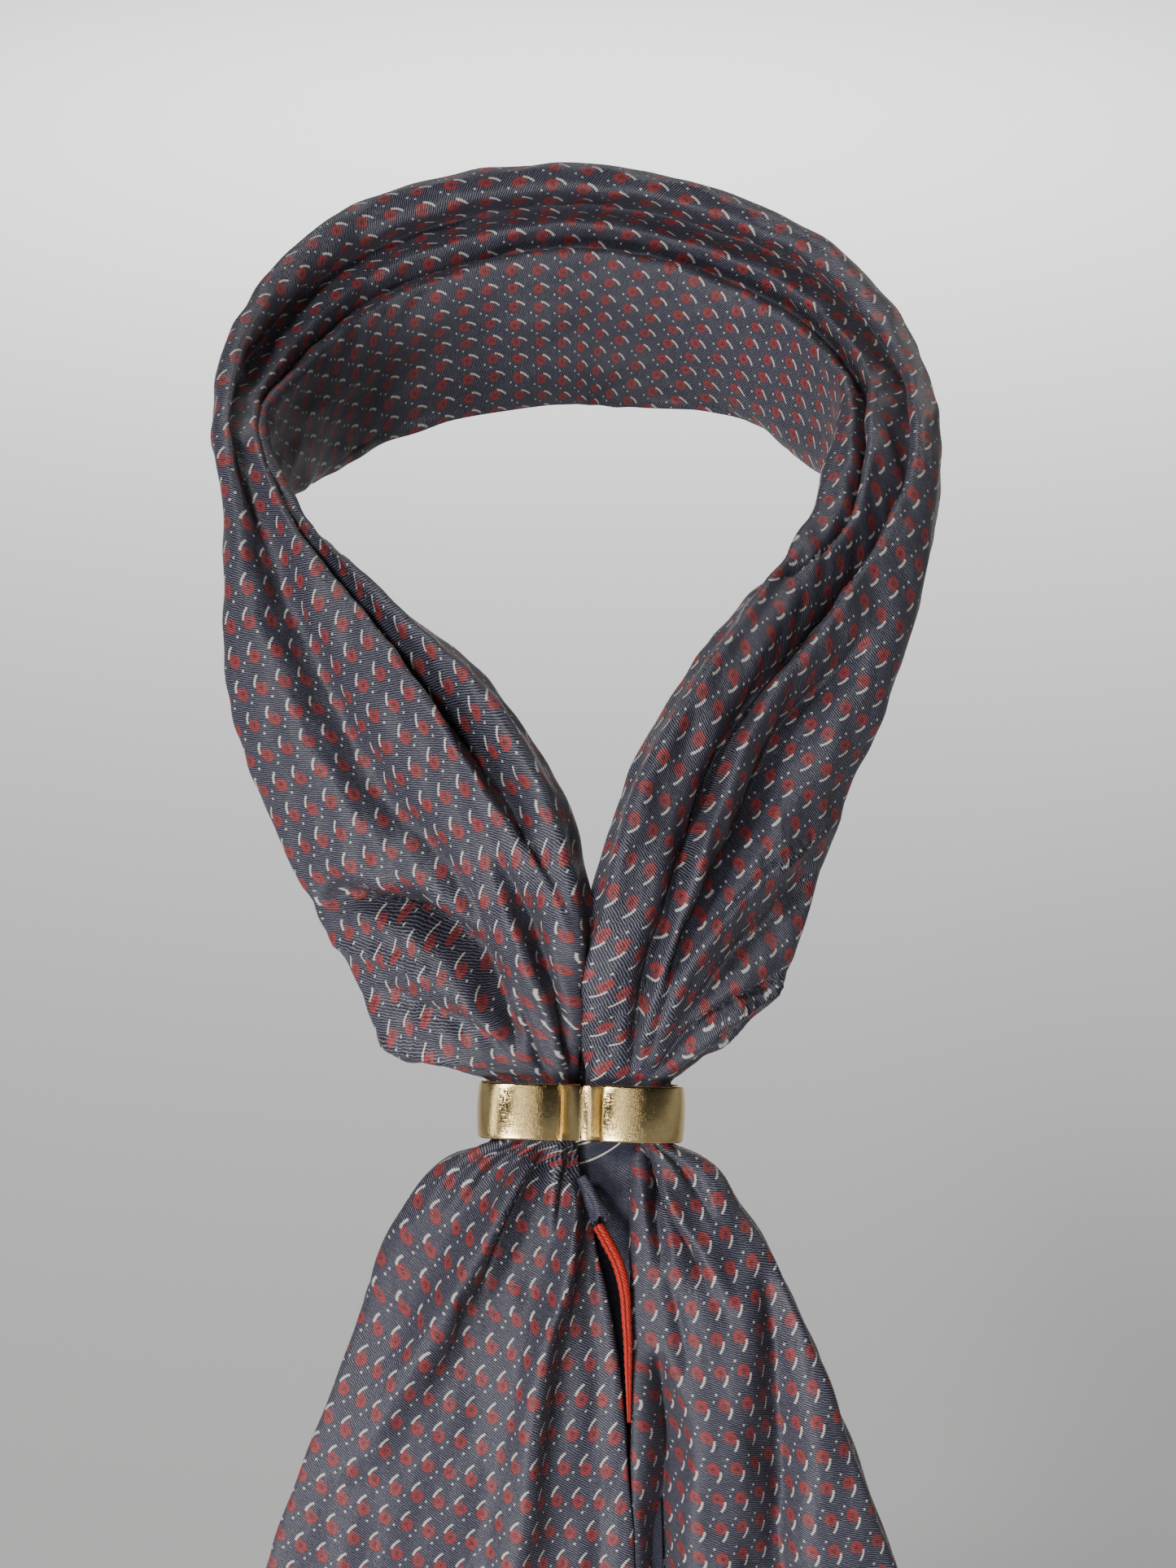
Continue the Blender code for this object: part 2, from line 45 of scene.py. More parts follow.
# ---- the photo's camera ----
# It stands 0.67 m in front of the ring, a little above the loop, and looks down at 25 degrees through a lens
# about twice as long as a normal one, so the loop shows as a full oval and the ends run out of the frame.
LENS_PIXELS, PHOTO_HEIGHT = 4100, 1927
camera_data = bpy.data.cameras.new("photo_camera")
camera_data.sensor_width = 36.0
camera_data.lens = 36.0 * LENS_PIXELS / PHOTO_HEIGHT
camera = bpy.data.objects.new("photo_camera", camera_data)
camera.location = (0.0, -0.6642, 0.2333)
camera.rotation_euler = (math.radians(65), 0, 0)
scene.collection.objects.link(camera)
scene.camera = camera

# ---- the studio ----
# A pale seamless sweep a hand below the ends. The main soft light stands to the left of the camera and above it,
# a low one lights the two ends, two tall weak panels beside the camera show as the bright bands on the ring, and
# one more lights the floor.
FLOOR_HEIGHT = -0.36
FLOOR_REACH = 3.2
BEND_RADIUS, WALL_HEIGHT = 1.4, 3.2     # where the floor turns up into the wall
SWEEP_SIDES = 64
GLOW_REACH = (0.9, 2.8)                 # metres from the middle over which the paper's glow comes up
GLOW_HEIGHT = (0.9, 1.5)                # and over which it fades upwards
GLOW_STRENGTH = 0.26


def soft_light(name, place, aim, size, watts, colour, beam=180):
    light = bpy.data.lights.new(name, "AREA")
    light.shape = "RECTANGLE"
    light.size, light.size_y = size
    light.energy = watts
    light.color = colour
    light.spread = math.radians(beam)
    lamp = bpy.data.objects.new(name, light)
    lamp.location = place
    way = np.array(place) - np.array(aim)
    lamp.rotation_euler = (math.acos(way[2] / np.linalg.norm(way)), 0, math.atan2(way[0], -way[1]))
    scene.collection.objects.link(lamp)


soft_light("key_light", (-0.54, -0.74, 0.66), (0, -0.05, -0.10), (0.20, 0.20), 9, (1.0, 0.97, 0.94))
soft_light("low_light", (-0.20, -0.60, -0.14), (0, -0.09, -0.16), (0.16, 0.16), 2.7, (1.0, 0.96, 0.94))
soft_light("panel_by_camera", (-0.17, -1.25, 0.42), (0, -0.08, -0.11), (0.15, 1.0), 2.0, (1.0, 0.95, 0.86))
soft_light("panel_left", (-0.98, -0.78, 0.30), (0, -0.08, -0.11), (0.18, 1.0), 2.5, (1.0, 0.95, 0.86))
soft_light("back_light", (0.75, 0.95, 0.6), (0, 0, -0.05), (0.4, 0.4), 4, (1.0, 0.92, 0.84))
soft_light("floor_light", (0, 2.1, 1.7), (0, 1.65, FLOOR_HEIGHT), (0.9, 0.7), 50, (0.97, 0.98, 1.0), 80)

world = bpy.data.worlds.new("studio_air")
world.use_nodes = True
world.node_tree.nodes["Background"].inputs["Color"].default_value = (0.80, 0.81, 0.83, 1)
world.node_tree.nodes["Background"].inputs["Strength"].default_value = 0.03
scene.world = world

sweep = [(0, 0), (0.8, 0), (FLOOR_REACH, 0)]
sweep += [(FLOOR_REACH + BEND_RADIUS * math.sin(turn), BEND_RADIUS - BEND_RADIUS * math.cos(turn))
          for turn in map(math.radians, range(10, 91, 10))] + [(FLOOR_REACH + BEND_RADIUS, WALL_HEIGHT)]
floor_points, floor_faces = [], []
for turn in range(SWEEP_SIDES):
    angle = 2 * math.pi * turn / SWEEP_SIDES
    floor_points += [(reach * math.cos(angle), reach * math.sin(angle), FLOOR_HEIGHT + height)
                     for reach, height in sweep]
    here, following = turn * len(sweep), (turn + 1) % SWEEP_SIDES * len(sweep)
    floor_faces += [(here + k, here + k + 1, following + k + 1, following + k) for k in range(len(sweep) - 1)]
floor_mesh = bpy.data.meshes.new("studio_floor")
floor_mesh.from_pydata(floor_points, [], floor_faces)
floor_mesh.shade_smooth()
floor = bpy.data.objects.new("studio_floor", floor_mesh)
scene.collection.objects.link(floor)


def math_node(operation, *values, clamp=False):
    """A Math node. Each value is a number or a socket."""
    tree = next(value.id_data for value in values if not isinstance(value, (int, float)))
    node = tree.nodes.new("ShaderNodeMath")
    node.operation = operation
    node.use_clamp = clamp
    for socket, value in zip(node.inputs, values):
        if isinstance(value, (int, float)):
            socket.default_value = value
        else:
            tree.links.new(value, socket)
    return node.outputs[0]


times, plus, minus = (functools.partial(math_node, kind) for kind in ("MULTIPLY", "ADD", "SUBTRACT"))


def soft_step(value, low, high):
    """1 where value is below low, 0 above high, and a smooth change between."""
    tree = value.id_data
    node = tree.nodes.new("ShaderNodeMapRange")
    node.interpolation_type = "SMOOTHSTEP"
    for socket, number in (("From Min", low), ("From Max", high), ("To Min", 1), ("To Max", 0)):
        node.inputs[socket].default_value = number
    tree.links.new(value, node.inputs["Value"])
    return node.outputs[0]


def material(name):
    """A material, its node tree and its shader."""
    finish = bpy.data.materials.new(name)
    finish.use_nodes = True
    return finish, finish.node_tree, finish.node_tree.nodes["Principled BSDF"]


def parts_of(vector):
    """The three numbers of a vector, by name."""
    node = vector.id_data.nodes.new("ShaderNodeSeparateXYZ")
    vector.id_data.links.new(vector, node.inputs[0])
    return node.outputs


# Far out and up to eye level the paper glows a little, so the sweep stays pale on every side.
floor_paper, paper, paper_shader = material("floor paper")
paper_shader.inputs["Base Color"].default_value = (0.40, 0.40, 0.40, 1)
paper_shader.inputs["Roughness"].default_value = 0.85
where = paper.nodes.new("ShaderNodeNewGeometry").outputs["Position"]
distance = paper.nodes.new("ShaderNodeVectorMath")
distance.operation = "LENGTH"
paper.links.new(where, distance.inputs[0])
far = minus(1.0, soft_step(distance.outputs["Value"], *GLOW_REACH))
glow = times(far, soft_step(parts_of(where)["Z"], *GLOW_HEIGHT))
paper.links.new(glow, paper_shader.inputs["Emission Color"])
paper_shader.inputs["Emission Strength"].default_value = GLOW_STRENGTH
floor_mesh.materials.append(floor_paper)

# ---- the loop round the neck ----
# One length of the folded square: a band of three soft layers behind the neck that opens out into a flat
# stretch on each side and gathers again to go into the ring. Printed silk twill, cut on the square.
# Rails, in millimetres: section, in_x, in_y, in_z, out_x, out_y, out_z, hang, face_in, face_out,
# turn_in, turn_out. in is the edge towards the neck, hang is in degrees, face is how deep a side reaches
# and turn is how far its hem turns under.
NAPE_RAIL = ("nape", -2, 60, 24, -5, 76, 42, 38, 37, 48, 1, 3)
RIGHT_RAILS = (
    ("quarter", 41, 51, 12, 52, 62, 29, 36, 29, 42, 1, 4),
    ("flank", 54, 28, 4, 70, 32, 15, 30, 21, 35, 2, 5),
    ("side", 51, 4, -1, 73, 1, 5, 17, 14, 28, 4, 7),
    ("turn", 46.5, -14, -8, 71, -17, -9, 4, 12, 20, 9, 10),
    ("chest", 29, -45, -22, 62, -40, -38, 0, 11, 15, 14, 16),
    ("middle", 12, -65, -44, 51, -52, -59, 0, 10, 14, 17, 19),
    ("low", 5.6, -76, -60, 43, -66, -79, 0, 9, 13, 17, 19),
    ("gather", -0.2, -82, -80, 34, -74, -94, 0, 7, 10, 13, 15),
    ("brim", -1.0, -79.5, -99, 20, -77.7, -103.5, 0, 5, 5, 8, 8),
    ("throat", -0.5, -79.3, -105, 16.2, -79.3, -105.3, 0, 3.2, 3.2, 6, 6),
    ("ring", 0.6, -81.5, -109.9, 16.2, -81.6, -110.1, 0, 3.2, 3.2, 6, 6),
)
LEFT_RAILS = (
    ("quarter", -45, 52, 14, -57, 63, 33.5, 44, 32, 44, 1, 4),
    ("flank", -62, 30, 6, -75, 34, 21, 50, 26, 38, 2, 4),
    ("side", -67, 4, 3, -77.5, 0, 9, 36, 18, 28, 3, 5),
    ("turn", -58, -17, -8, -75, -18, -9, 12, 13, 20, 6, 7),
    ("chest", -40, -36, -19, -73, -40, -38, 0, 11, 15, 13, 15),
    ("middle", -20, -55, -32, -63, -54, -62, 0, 10, 14, 18, 20),
    ("low", -4.6, -75, -56, -47, -67, -88, 0, 9, 13, 19, 21),
    ("gather", -1.5, -82.6, -79, -38, -73, -104, 0, 7, 10, 13, 15),
    ("brim", -1.9, -79.5, -99, -26, -76.4, -104.2, 0, 5, 5, 9, 9),
    ("throat", -2.6, -79.3, -104.9, -19.2, -79.1, -105, 0, 3.2, 3.2, 6, 6),
    ("ring", -3.3, -81.5, -109.9, -19.0, -81.5, -109.9, 0, 3.2, 3.2, 6, 6),
)
# How far the face stands out between its two edges, in millimetres, at nine even places across it.
FACE_KEYS = ("side", "chest", "middle", "low", "brim", "ring")
NAPE_FACE = (1.2, .6, .4, .6, 1, 1.6, 2.6, 3.6, 3.6)
FRONT_FACE = (
    (2, 2.6, 2.4, 2.2, 2.2, 2.4, 2.6, 3, 2.6),
    (-.4, 1.4, 2.4, 3, 3.2, 3.4, 3.6, 3.2, 2.2),
    (.8, 2.6, 3.6, 4, 4, 4, 4, 3.4, 2.2),
    (1, 2.8, 3.8, 4.2, 4.2, 4.2, 4, 3.4, 2.2),
    (2.4, 3, 3.2, 3.3, 3.4, 3.4, 3.2, 2.8, 1.8),
    (2.2, 2.6, 2.8, 3, 3.2, 3.2, 3, 2.8, 2),
)
# Creases and ridges. Each point: millimetres along the loop, share across the face, lift, how wide it is towards
# the inner edge, then towards the outer edge if that differs, and how far it leans towards the outer edge if it does.
LOOP_CREASES = (
    # left front
    ("under the main roll", (48, .13, -1.25, 2, 1), (56, .137, -4.5, 2.6, 1), (64, .152, -6.5, 3, 1),
     (75, .166, -7.5, 3.2, 1), (86, .168, -7, 3, 1), (97, .158, -5.75, 2.6, 1), (108, .138, -4.25, 2.2, 1),
     (122, .14, -3.75, 2, 1), (138, .17, -3.75, 2, 1.2), (161, .22, -4.38, 2, 1.4), (192, .23, -5, 2.2, 1.6),
     (225, .26, -5.62, 2.4, 1.8), (274, .28, -6.25, 2.4, 1.8), (327, .31, -6.25, 2.2, 1.6), (360, .34, -6.88, 2, 1.3),
     (388, .385, -7.5, 1.8, 1), (402, .385, -7.5, 1.8, 1), (411, .34, -6.25, 1.8, 1), (418, .25, -5, 1.6, 1),
     (425, .14, -3.12, 1.4, 1), (432, .05, -.62, 1)),
    ("main roll's edge", (28, .04, 1, .9, 2.5, -.5), (39, .10, 1.88, .9, 3, -1), (50, .165, 2.25, .9, 3.5, -1.3),
     (60, .20, 2.5, .9, 3.8, -1.6), (76, .218, 2.75, .9, 4, -1.8), (92, .208, 2.5, .9, 4, -1.6),
     (108, .18, 1.75, .9, 3.5, -1.2), (122, .175, 1.25, 1, 3, -.6), (161, .27, 1, 1.2, 3, -.4),
     (225, .31, 1.25, 1.4, 3, -.4), (274, .34, 1.5, 1.4, 3, -.5), (340, .37, 1.75, 1.2, 3, -.8),
     (388, .43, 2, 1, 3, -1.2), (404, .43, 2, 1, 3, -1.4), (412, .385, 1.75, 1, 2.6, -1.2),
     (420, .28, 1.25, 1, 2.4, -.8), (430, .13, .38, 1, 2, -.3)),
    ("soft trough", (24, .33, -1.09, 1.3, 1.7), (34, .37, -2.54, 1.6, 2.2), (46, .43, -3.62, 2, 2.9),
     (60, .48, -4.71, 3.4, 4), (70, .535, -5.44, 4.5), (83, .55, -5.8, 5, 4.7), (95, .52, -5.8, 5, 4.7),
     (108, .485, -5.44, 4.5), (123, .51, -4.71, 3.9), (138, .56, -4.35, 3.4), (161, .62, -4.35, 2.9, 2.5),
     (192, .58, -5.44, 2.9, 2.2), (225, .58, -6.16, 2.9, 2), (274, .605, -6.52, 3.1, 1.8),
     (327, .64, -6.16, 2.9, 1.7), (360, .70, -6.16, 2.9, 1.3), (385, .795, -6.16, 3.1, 1.1),
     (400, .775, -7.97, 4, 1.1), (412, .655, -9.79, 5.2, 1.1), (425, .53, -10.88, 5.6, 1.1),
     (442, .415, -11.78, 5.6, 1.1), (455, .33, -11.6, 5.2, 1.1), (466, .31, -10.88, 4.9, 1.1),
     (478, .33, -10.88, 4.9, 1.1), (490, .315, -10.15, 4.5, 1.1), (505, .325, -9.06, 3.8, 1),
     (517, .32, -7.25, 3.1, 0.9), (528, .37, -4.35, 2.2, 0.9), (538, .5, -1.45, 1.7, 0.9)),
    ("outer layer's edge", (200, .63, .6, 1.4, 3), (274, .665, 1.2, 1.4, 3, -.4), (327, .695, 1.44, 1.2, 3, -.6),
     (360, .75, 1.68, 1, 2.6, -.8), (385, .845, 1.92, .9, 2.4, -1.2), (400, .825, 2.16, .9, 2.6, -1.4),
     (412, .705, 2.4, .9, 3, -1.6), (425, .58, 2.64, .9, 3.2, -1.8), (442, .462, 2.88, .9, 3.2, -2),
     (455, .372, 2.88, .9, 3.2, -2), (466, .352, 2.88, .9, 3, -2), (478, .372, 2.88, .9, 2.8, -2),
     (490, .355, 2.88, .9, 2.6, -1.8), (505, .36, 2.64, .9, 2.2, -1.6), (517, .36, 2.16, .8, 1.8, -1.2),
     (528, .42, 1.68, .8, 1.6, -.8), (539, .57, .6, .8, 1.4, -.2)),
    ("low trough", (13, .40, -2.0, 1.6, 1.2), (23, .415, -7.2, 2.7, 1.9), (33, .48, -11, 4.1, 2.3),
     (45, .625, -12.4, 5.4, 2.6), (53, .755, -11, 5.4, 2.9), (59, .89, -6.6, 4.9, 3), (64, .98, -1.8, 4.1, 2.5)),
    ("low crest", (15, .44, .6, 1, 1.4), (24, .49, 1.6, 1.4, 1.8), (35, .66, 2.4, 2), (43, .82, 2.4, 2.2, 2),
     (50, .95, 1.4, 2.2, 2), (55, 1.03, .4, 2)),
    ("dip over the puff", (12, .48, -.72, 1.4), (18, .525, -2.16, 2), (23, .6, -3.6, 2.5), (29, .72, -4.08, 2.8),
     (35, .86, -3.36, 2.8), (41, .98, -1.2, 2.8)),
    ("puff", (9, .66, .4, 1.4, 1.6), (15, .7, 1.2, 1.8, 2), (20, .82, 2.2, 2.2, 2.4), (25, .91, 2.4, 2.4),
     (31, 1, 1, 2)),
    ("second trough", (7, .06, -1.29, 1), (16, .10, -3.22, 1.2), (24, .15, -4.83, 1.4), (33, .19, -5.47, 1.8, 1.6),
     (42, .225, -3.86, 2, 1.6), (50, .25, -.97, 2, 1.6)),
    ("second edge", (6, .10, .4, .8, 1.2), (14, .15, .9, .8, 1.4, -.3), (24, .21, 1.2, .8, 1.6, -.5),
     (34, .255, 1.2, .8, 1.8, -.5), (44, .285, .6, .8, 2)),
    ("roll beside the ring", (5, .30, -.65, .8), (11, .30, -2.08, 1), (18, .30, -1.82, 1), (26, .31, -.65, 1)),
    # right front
    ("broad trough", (436, .74, -.78, 2), (445, .65, -4.66, 3), (453, .56, -7.14, 3.4, 3.6),
     (462, .535, -7.76, 3.4, 4), (474, .55, -8.07, 3.4, 4), (483, .535, -8.07, 3, 3.4), (492, .495, -7.45, 2.6, 2.4),
     (501, .45, -6.21, 2, 1.6), (510, .415, -4.04, 1.4, 1.2), (518, .41, -1.24, 1)),
    ("third layer's edge", (474, 1.0, .5, 1.2, 3), (482, .90, 2, 1, 3, -.6), (491, .70, 3.25, .9, 3, -1.4),
     (500, .58, 3.5, .9, 2.8, -1.6), (508, .50, 3.25, .9, 2.4, -1.4), (517, .455, 2.5, .8, 2, -1),
     (526, .50, 1.5, .8, 1.6, -.6), (537, .64, .5, .8, 1.4)),
    ("fall behind it", (486, .98, -1.14, 3), (496, .86, -3.8, 4), (506, .74, -4.94, 3.6, 4), (514, .66, -3.8, 2.4, 3),
     (522, .6, -1.52, 1.6, 2)),
    ("first fan fold", (506, 1.0, -1.12, 1.4), (513, .93, -3.64, 1.8, 1.6), (518, .79, -4.2, 1.8, 1.4),
     (524, .70, -3.36, 1.4, 1.2), (532, .68, -1.68, 1), (538, .72, -.56, 1)),
    ("fan ridge", (508, 1.04, .6, 1.2, 1.4), (515, .94, 1.8, 1.2, 1.6), (521, .82, 2, 1.2, 1.6, -.4),
     (529, .77, 1.2, 1, 1.4, -.2), (537, .79, .4, 1, 1.2)),
    ("second fan fold", (516, 1.04, -.84, 1.2), (522, .98, -2.52, 1.4), (529, .9, -2.8, 1.2), (536, .88, -1.12, 1)),
    ("crease on the inner roll", (466, .12, -.3, 3), (488, .15, -.9, 3), (508, .16, -.8, 2.4), (526, .2, -.6, 1.6),
     (538, .24, -.3, 1.4)),
    # inner side of the band behind the neck
    ("inner ridge", (296, -.04, .6, 1.5), (318, -.10, 2, 2), (340, -.18, 2.8, 2.2), (358, -.26, 2, 2.2),
     (370, -.32, .6, 2)),
    ("inner hollow", (262, -.06, -.5, 2), (290, -.14, -1.8, 2.5), (318, -.24, -2, 2.5), (336, -.3, -.6, 2)),
    ("left inner fold", (188, -.26, -.6, 2), (206, -.2, -2, 2.2), (232, -.14, -2.2, 2.2, 2.4), (256, -.1, -.8, 2)),
    # outer side of the band and the sides
    ("back fold", (168, 1.42, -.75, 1.5), (196, 1.33, -3.3, 2, 1.6), (236, 1.24, -4.2, 2.2, 1.6),
     (280, 1.18, -3.6, 2.2, 1.6), (322, 1.14, -1.8, 2, 1.6), (344, 1.12, -.45, 2, 1.6)),
    ("second back fold", (232, 1.42, -.6, 1.6), (268, 1.35, -2.7, 2, 1.8), (306, 1.29, -3.9, 2, 1.8),
     (344, 1.25, -3.6, 2, 1.6), (378, 1.2, -2.1, 1.6, 1.4), (398, 1.18, -.45, 1.6, 1.4)),
    ("third back fold", (352, 1.44, -.6, 1.4), (374, 1.38, -2.7, 1.6), (396, 1.32, -3, 1.6, 1.4),
     (420, 1.26, -1.8, 1.4, 1.2), (438, 1.2, -.45, 1.2)),
    ("left side fold", (96, 1.16, -.45, 1.2), (120, 1.22, -2.4, 1.6), (144, 1.28, -3, 1.6),
     (168, 1.3, -2.1, 1.8, 1.6), (190, 1.26, -.45, 1.6)),
)
SILK_THICKNESS = 0.5      # millimetres, of the double layer that a fold shows
SILK_BEND = 0.45          # the tightest bend that the folded silk takes
SILK_ROOM = 0.8           # between two layers that lie on each other
FACES_PER_FOLD = 8
LOOP_FACE = 1.7           # millimetres along the loop
INNER_EDGE = 3            # which point of a section is its inner edge
FACE_POINTS = 9           # between the inner and the outer edge
NARROWEST_CREASE, CREASE_FADE = 0.4, 4      # millimetres, across it and at its two ends
STEEPEST_SLANT = 0.7      # of a section to the cloth's length
CLOSE_SECTIONS, WIDE_SECTIONS = 6, 400      # over how many, squared, the flat map's steps and slant are evened
WRINKLE_WAVES, WRINKLE_LENGTHS = 18, (6, 20)


def through(knots, rows, at):
    """A smooth line through rows, one for each knot, read at the places in at."""
    knots, rows, at = np.asarray(knots, float), np.asarray(rows, float), np.asarray(at, float)
    slopes = np.gradient(rows, knots, axis=0)
    spans = np.clip(np.searchsorted(knots, at, side="right") - 1, 0, len(knots) - 2)
    width = (knots[spans + 1] - knots[spans])[:, None]
    part = (at[:, None] - knots[spans][:, None]) / width
    start, end = rows[spans], rows[spans + 1]
    leave, arrive = slopes[spans] * width, slopes[spans + 1] * width
    return (start * (1 + 2 * part) * (1 - part) ** 2 + leave * part * (1 - part) ** 2
            + end * part ** 2 * (3 - 2 * part) + arrive * part ** 2 * (part - 1))


def unit(vectors):
    return vectors / np.linalg.norm(vectors, axis=-1, keepdims=True)


def rounded(points, steps):
    """Each row of points as a smooth line through them."""
    before = 2 * points[:, :1] - points[:, 1:2]
    after = 2 * points[:, -1:] - points[:, -2:-1]
    full = np.concatenate([before, points, after], axis=1)
    gaps = np.sqrt(np.linalg.norm(np.diff(full, axis=1), axis=2, keepdims=True)) + 1e-6
    lines = []
    for place in range(1, full.shape[1] - 2):
        p0, p1, p2, p3 = (full[:, place + k] for k in (-1, 0, 1, 2))
        d0, d1, d2 = (gaps[:, place + k] for k in (-1, 0, 1))
        leave = d1 * ((p1 - p0) / d0 - (p2 - p0) / (d0 + d1) + (p2 - p1) / d1)
        arrive = d1 * ((p2 - p1) / d1 - (p3 - p1) / (d1 + d2) + (p3 - p2) / d2)
        for step in range(steps):
            s = step / steps
            lines.append(p1 * (1 + 2 * s) * (1 - s) ** 2 + leave * s * (1 - s) ** 2
                         + p2 * s ** 2 * (3 - 2 * s) + arrive * s ** 2 * (s - 1))
    lines.append(full[:, -2])
    return np.stack(lines, axis=1)


def stretch_surface(rails, face, keys, side=1):
    """The cloth's middle surface along one stretch, as a function of places in millimetres along it."""
    names = [row[0] for row in rails]
    table = np.array([row[1:12] for row in rails], float)
    middle = (table[:, 0:3] + table[:, 3:6]) / 2
    knots = np.concatenate([[0], np.cumsum(np.linalg.norm(np.diff(middle, axis=0), axis=1))])
    key_knots = [knots[names.index(key)] for key in keys]

    def surface(at):
        row = through(knots, table, at)
        inner, outer = row[:, 0:3], row[:, 3:6]
        ahead = through(knots, middle, at + 0.5) - through(knots, middle, at - 0.5)
        width = outer - inner
        lift = unit(side * np.cross(ahead, width))
        across = unit(width)
        hang = np.radians(row[:, 6:7])
        down = -lift * np.cos(hang) - across * np.sin(hang)
        outward = across * np.cos(hang) - lift * np.sin(hang)
        face_in, face_out, turn_in, turn_out = (row[:, k:k + 1] for k in (7, 8, 9, 10))
        lifts = through(key_knots, face, at)
        # the inner hem and side, the face, then the outer side and hem
        line = [inner + down * face_in + outward * turn_in,
                inner + down * face_in * 0.93,
                inner + down * face_in * 0.45,
                inner]
        for k in range(FACE_POINTS):
            line.append(inner + width * (k + 1) / (FACE_POINTS + 1) + lift * lifts[:, k:k + 1])
        line += [outer,
                 outer + down * face_out * 0.30 + outward * 0.045 * face_out,
                 outer + down * face_out * 0.52 - outward * 0.02 * face_out,
                 outer + down * face_out * 0.76 + outward * 0.03 * face_out,
                 outer + down * face_out * 0.95,
                 outer + down * face_out - outward * turn_out]
        return np.stack(line, axis=1)

    return surface, knots


def eased(lines, passes=30):
    """The sections with bends no tighter than the silk takes and layers that lie on each other parted."""
    lines = lines.copy()
    for count in range(passes):
        bend = lines[:, 2:] + lines[:, :-2] - 2 * lines[:, 1:-1]
        reach = np.linalg.norm(lines[:, 2:] - lines[:, :-2], axis=2) / 2
        tight = np.linalg.norm(bend, axis=2) > reach ** 2 / SILK_BEND
        lines[:, 1:-1][tight] += bend[tight] / 4
        if count % 3:
            continue
        steps = np.linalg.norm(np.diff(lines, axis=1), axis=2)
        along = np.concatenate([np.zeros((len(lines), 1)), np.cumsum(steps, axis=1)], axis=1)
        for row in range(len(lines)):
            apart = lines[row, :, None] - lines[row, None]
            distance = np.linalg.norm(apart, axis=2)
            close = (distance < SILK_ROOM) & (abs(along[row, :, None] - along[row, None]) > 2.5 * SILK_ROOM)
            if close.any():
                push = np.where(close, (SILK_ROOM - distance) / np.maximum(distance, 0.1) / 2, 0)
                crowd = np.maximum(close.sum(axis=1), 1)[:, None]
                lines[row] += (apart * push[..., None]).sum(axis=1) / crowd
    return lines


def normals(grid):
    return unit(np.cross(np.gradient(grid, axis=0), np.gradient(grid, axis=1)))


def pressed(grid, run, creases):
    """The grid with its creases and ridges formed into it."""
    facing = normals(grid)
    inner = grid[:, INNER_EDGE * FACES_PER_FOLD]
    outer = grid[:, (INNER_EDGE + FACE_POINTS + 1) * FACES_PER_FOLD]
    width = np.linalg.norm(outer - inner, axis=1)
    sideways = unit(outer - inner)[:, None]
    shares = (np.arange(grid.shape[1]) / FACES_PER_FOLD - INNER_EDGE) / (FACE_POINTS + 1)
    moved = grid.copy()
    for _, *points in creases:
        table = np.array([(*point, *(point[3:] if len(point) == 4 else ()), 0)[:6] for point in points], float)
        rows = (run >= table[0, 0]) & (run <= table[-1, 0])
        share, lift, inwards, outwards, lean = through(table[:, 0], table[:, 1:], run[rows]).T
        ends = np.minimum(run[rows] - table[0, 0], table[-1, 0] - run[rows]) / CREASE_FADE
        lift = lift * np.minimum(ends, 1)
        away = (shares - share[:, None]) * width[rows][:, None]
        reach = np.maximum(np.where(away < 0, inwards[:, None], outwards[:, None]), NARROWEST_CREASE)
        bell = np.exp(-(away / reach) ** 2)[..., None]
        moved[rows] += bell * (facing[rows] * lift[:, None, None] + sideways[rows] * lean[:, None, None])
    return moved


def laid_flat(base, grid, run):
    """Where each point lies on the flat square, in millimetres across and along it. Each section is laid out
    from its middle, at the slant that it has to the cloth's length."""
    rows, columns = grid.shape[:2]
    slant = (unit(np.gradient(base, axis=0)) * unit(np.gradient(base, axis=1))).sum(axis=2)
    steps = np.minimum(np.linalg.norm(np.diff(grid, axis=1), axis=2),
                       2 * np.linalg.norm(np.diff(base, axis=1), axis=2))
    near = (np.arange(rows)[:, None] - np.arange(rows)) ** 2
    close, wide = np.exp(-near / CLOSE_SECTIONS), np.exp(-near / WIDE_SECTIONS)
    steps = close @ steps / close.sum(axis=1, keepdims=True)
    slant = np.clip(wide @ slant / wide.sum(axis=1, keepdims=True), -STEEPEST_SLANT, STEEPEST_SLANT)
    slant = (slant[:, 1:] + slant[:, :-1]) / 2
    flat = np.zeros((rows, columns, 2))
    flat[:, 1:, 0] = np.cumsum(steps * np.sqrt(1 - slant ** 2), axis=1)
    flat[:, 1:, 1] = np.cumsum(steps * slant, axis=1)
    flat -= flat[:, columns // 2][:, None].copy()
    flat[..., 1] += run[:, None]
    return flat


def ruffled(grid, flat, depth):
    """The grid with fine soft wrinkles that run mostly along the cloth."""
    lift = np.zeros(grid.shape[:2])
    for _ in range(WRINKLE_WAVES):
        turn, wave = noise.normal(0, 0.5), noise.uniform(*WRINKLE_LENGTHS)
        lift += np.sin(2 * math.pi * (flat[..., 0] * math.cos(turn) + flat[..., 1] * math.sin(turn)) / wave
                       + noise.uniform(0, 2 * math.pi))
    return grid + normals(grid) * (lift * depth / 3)[..., None]


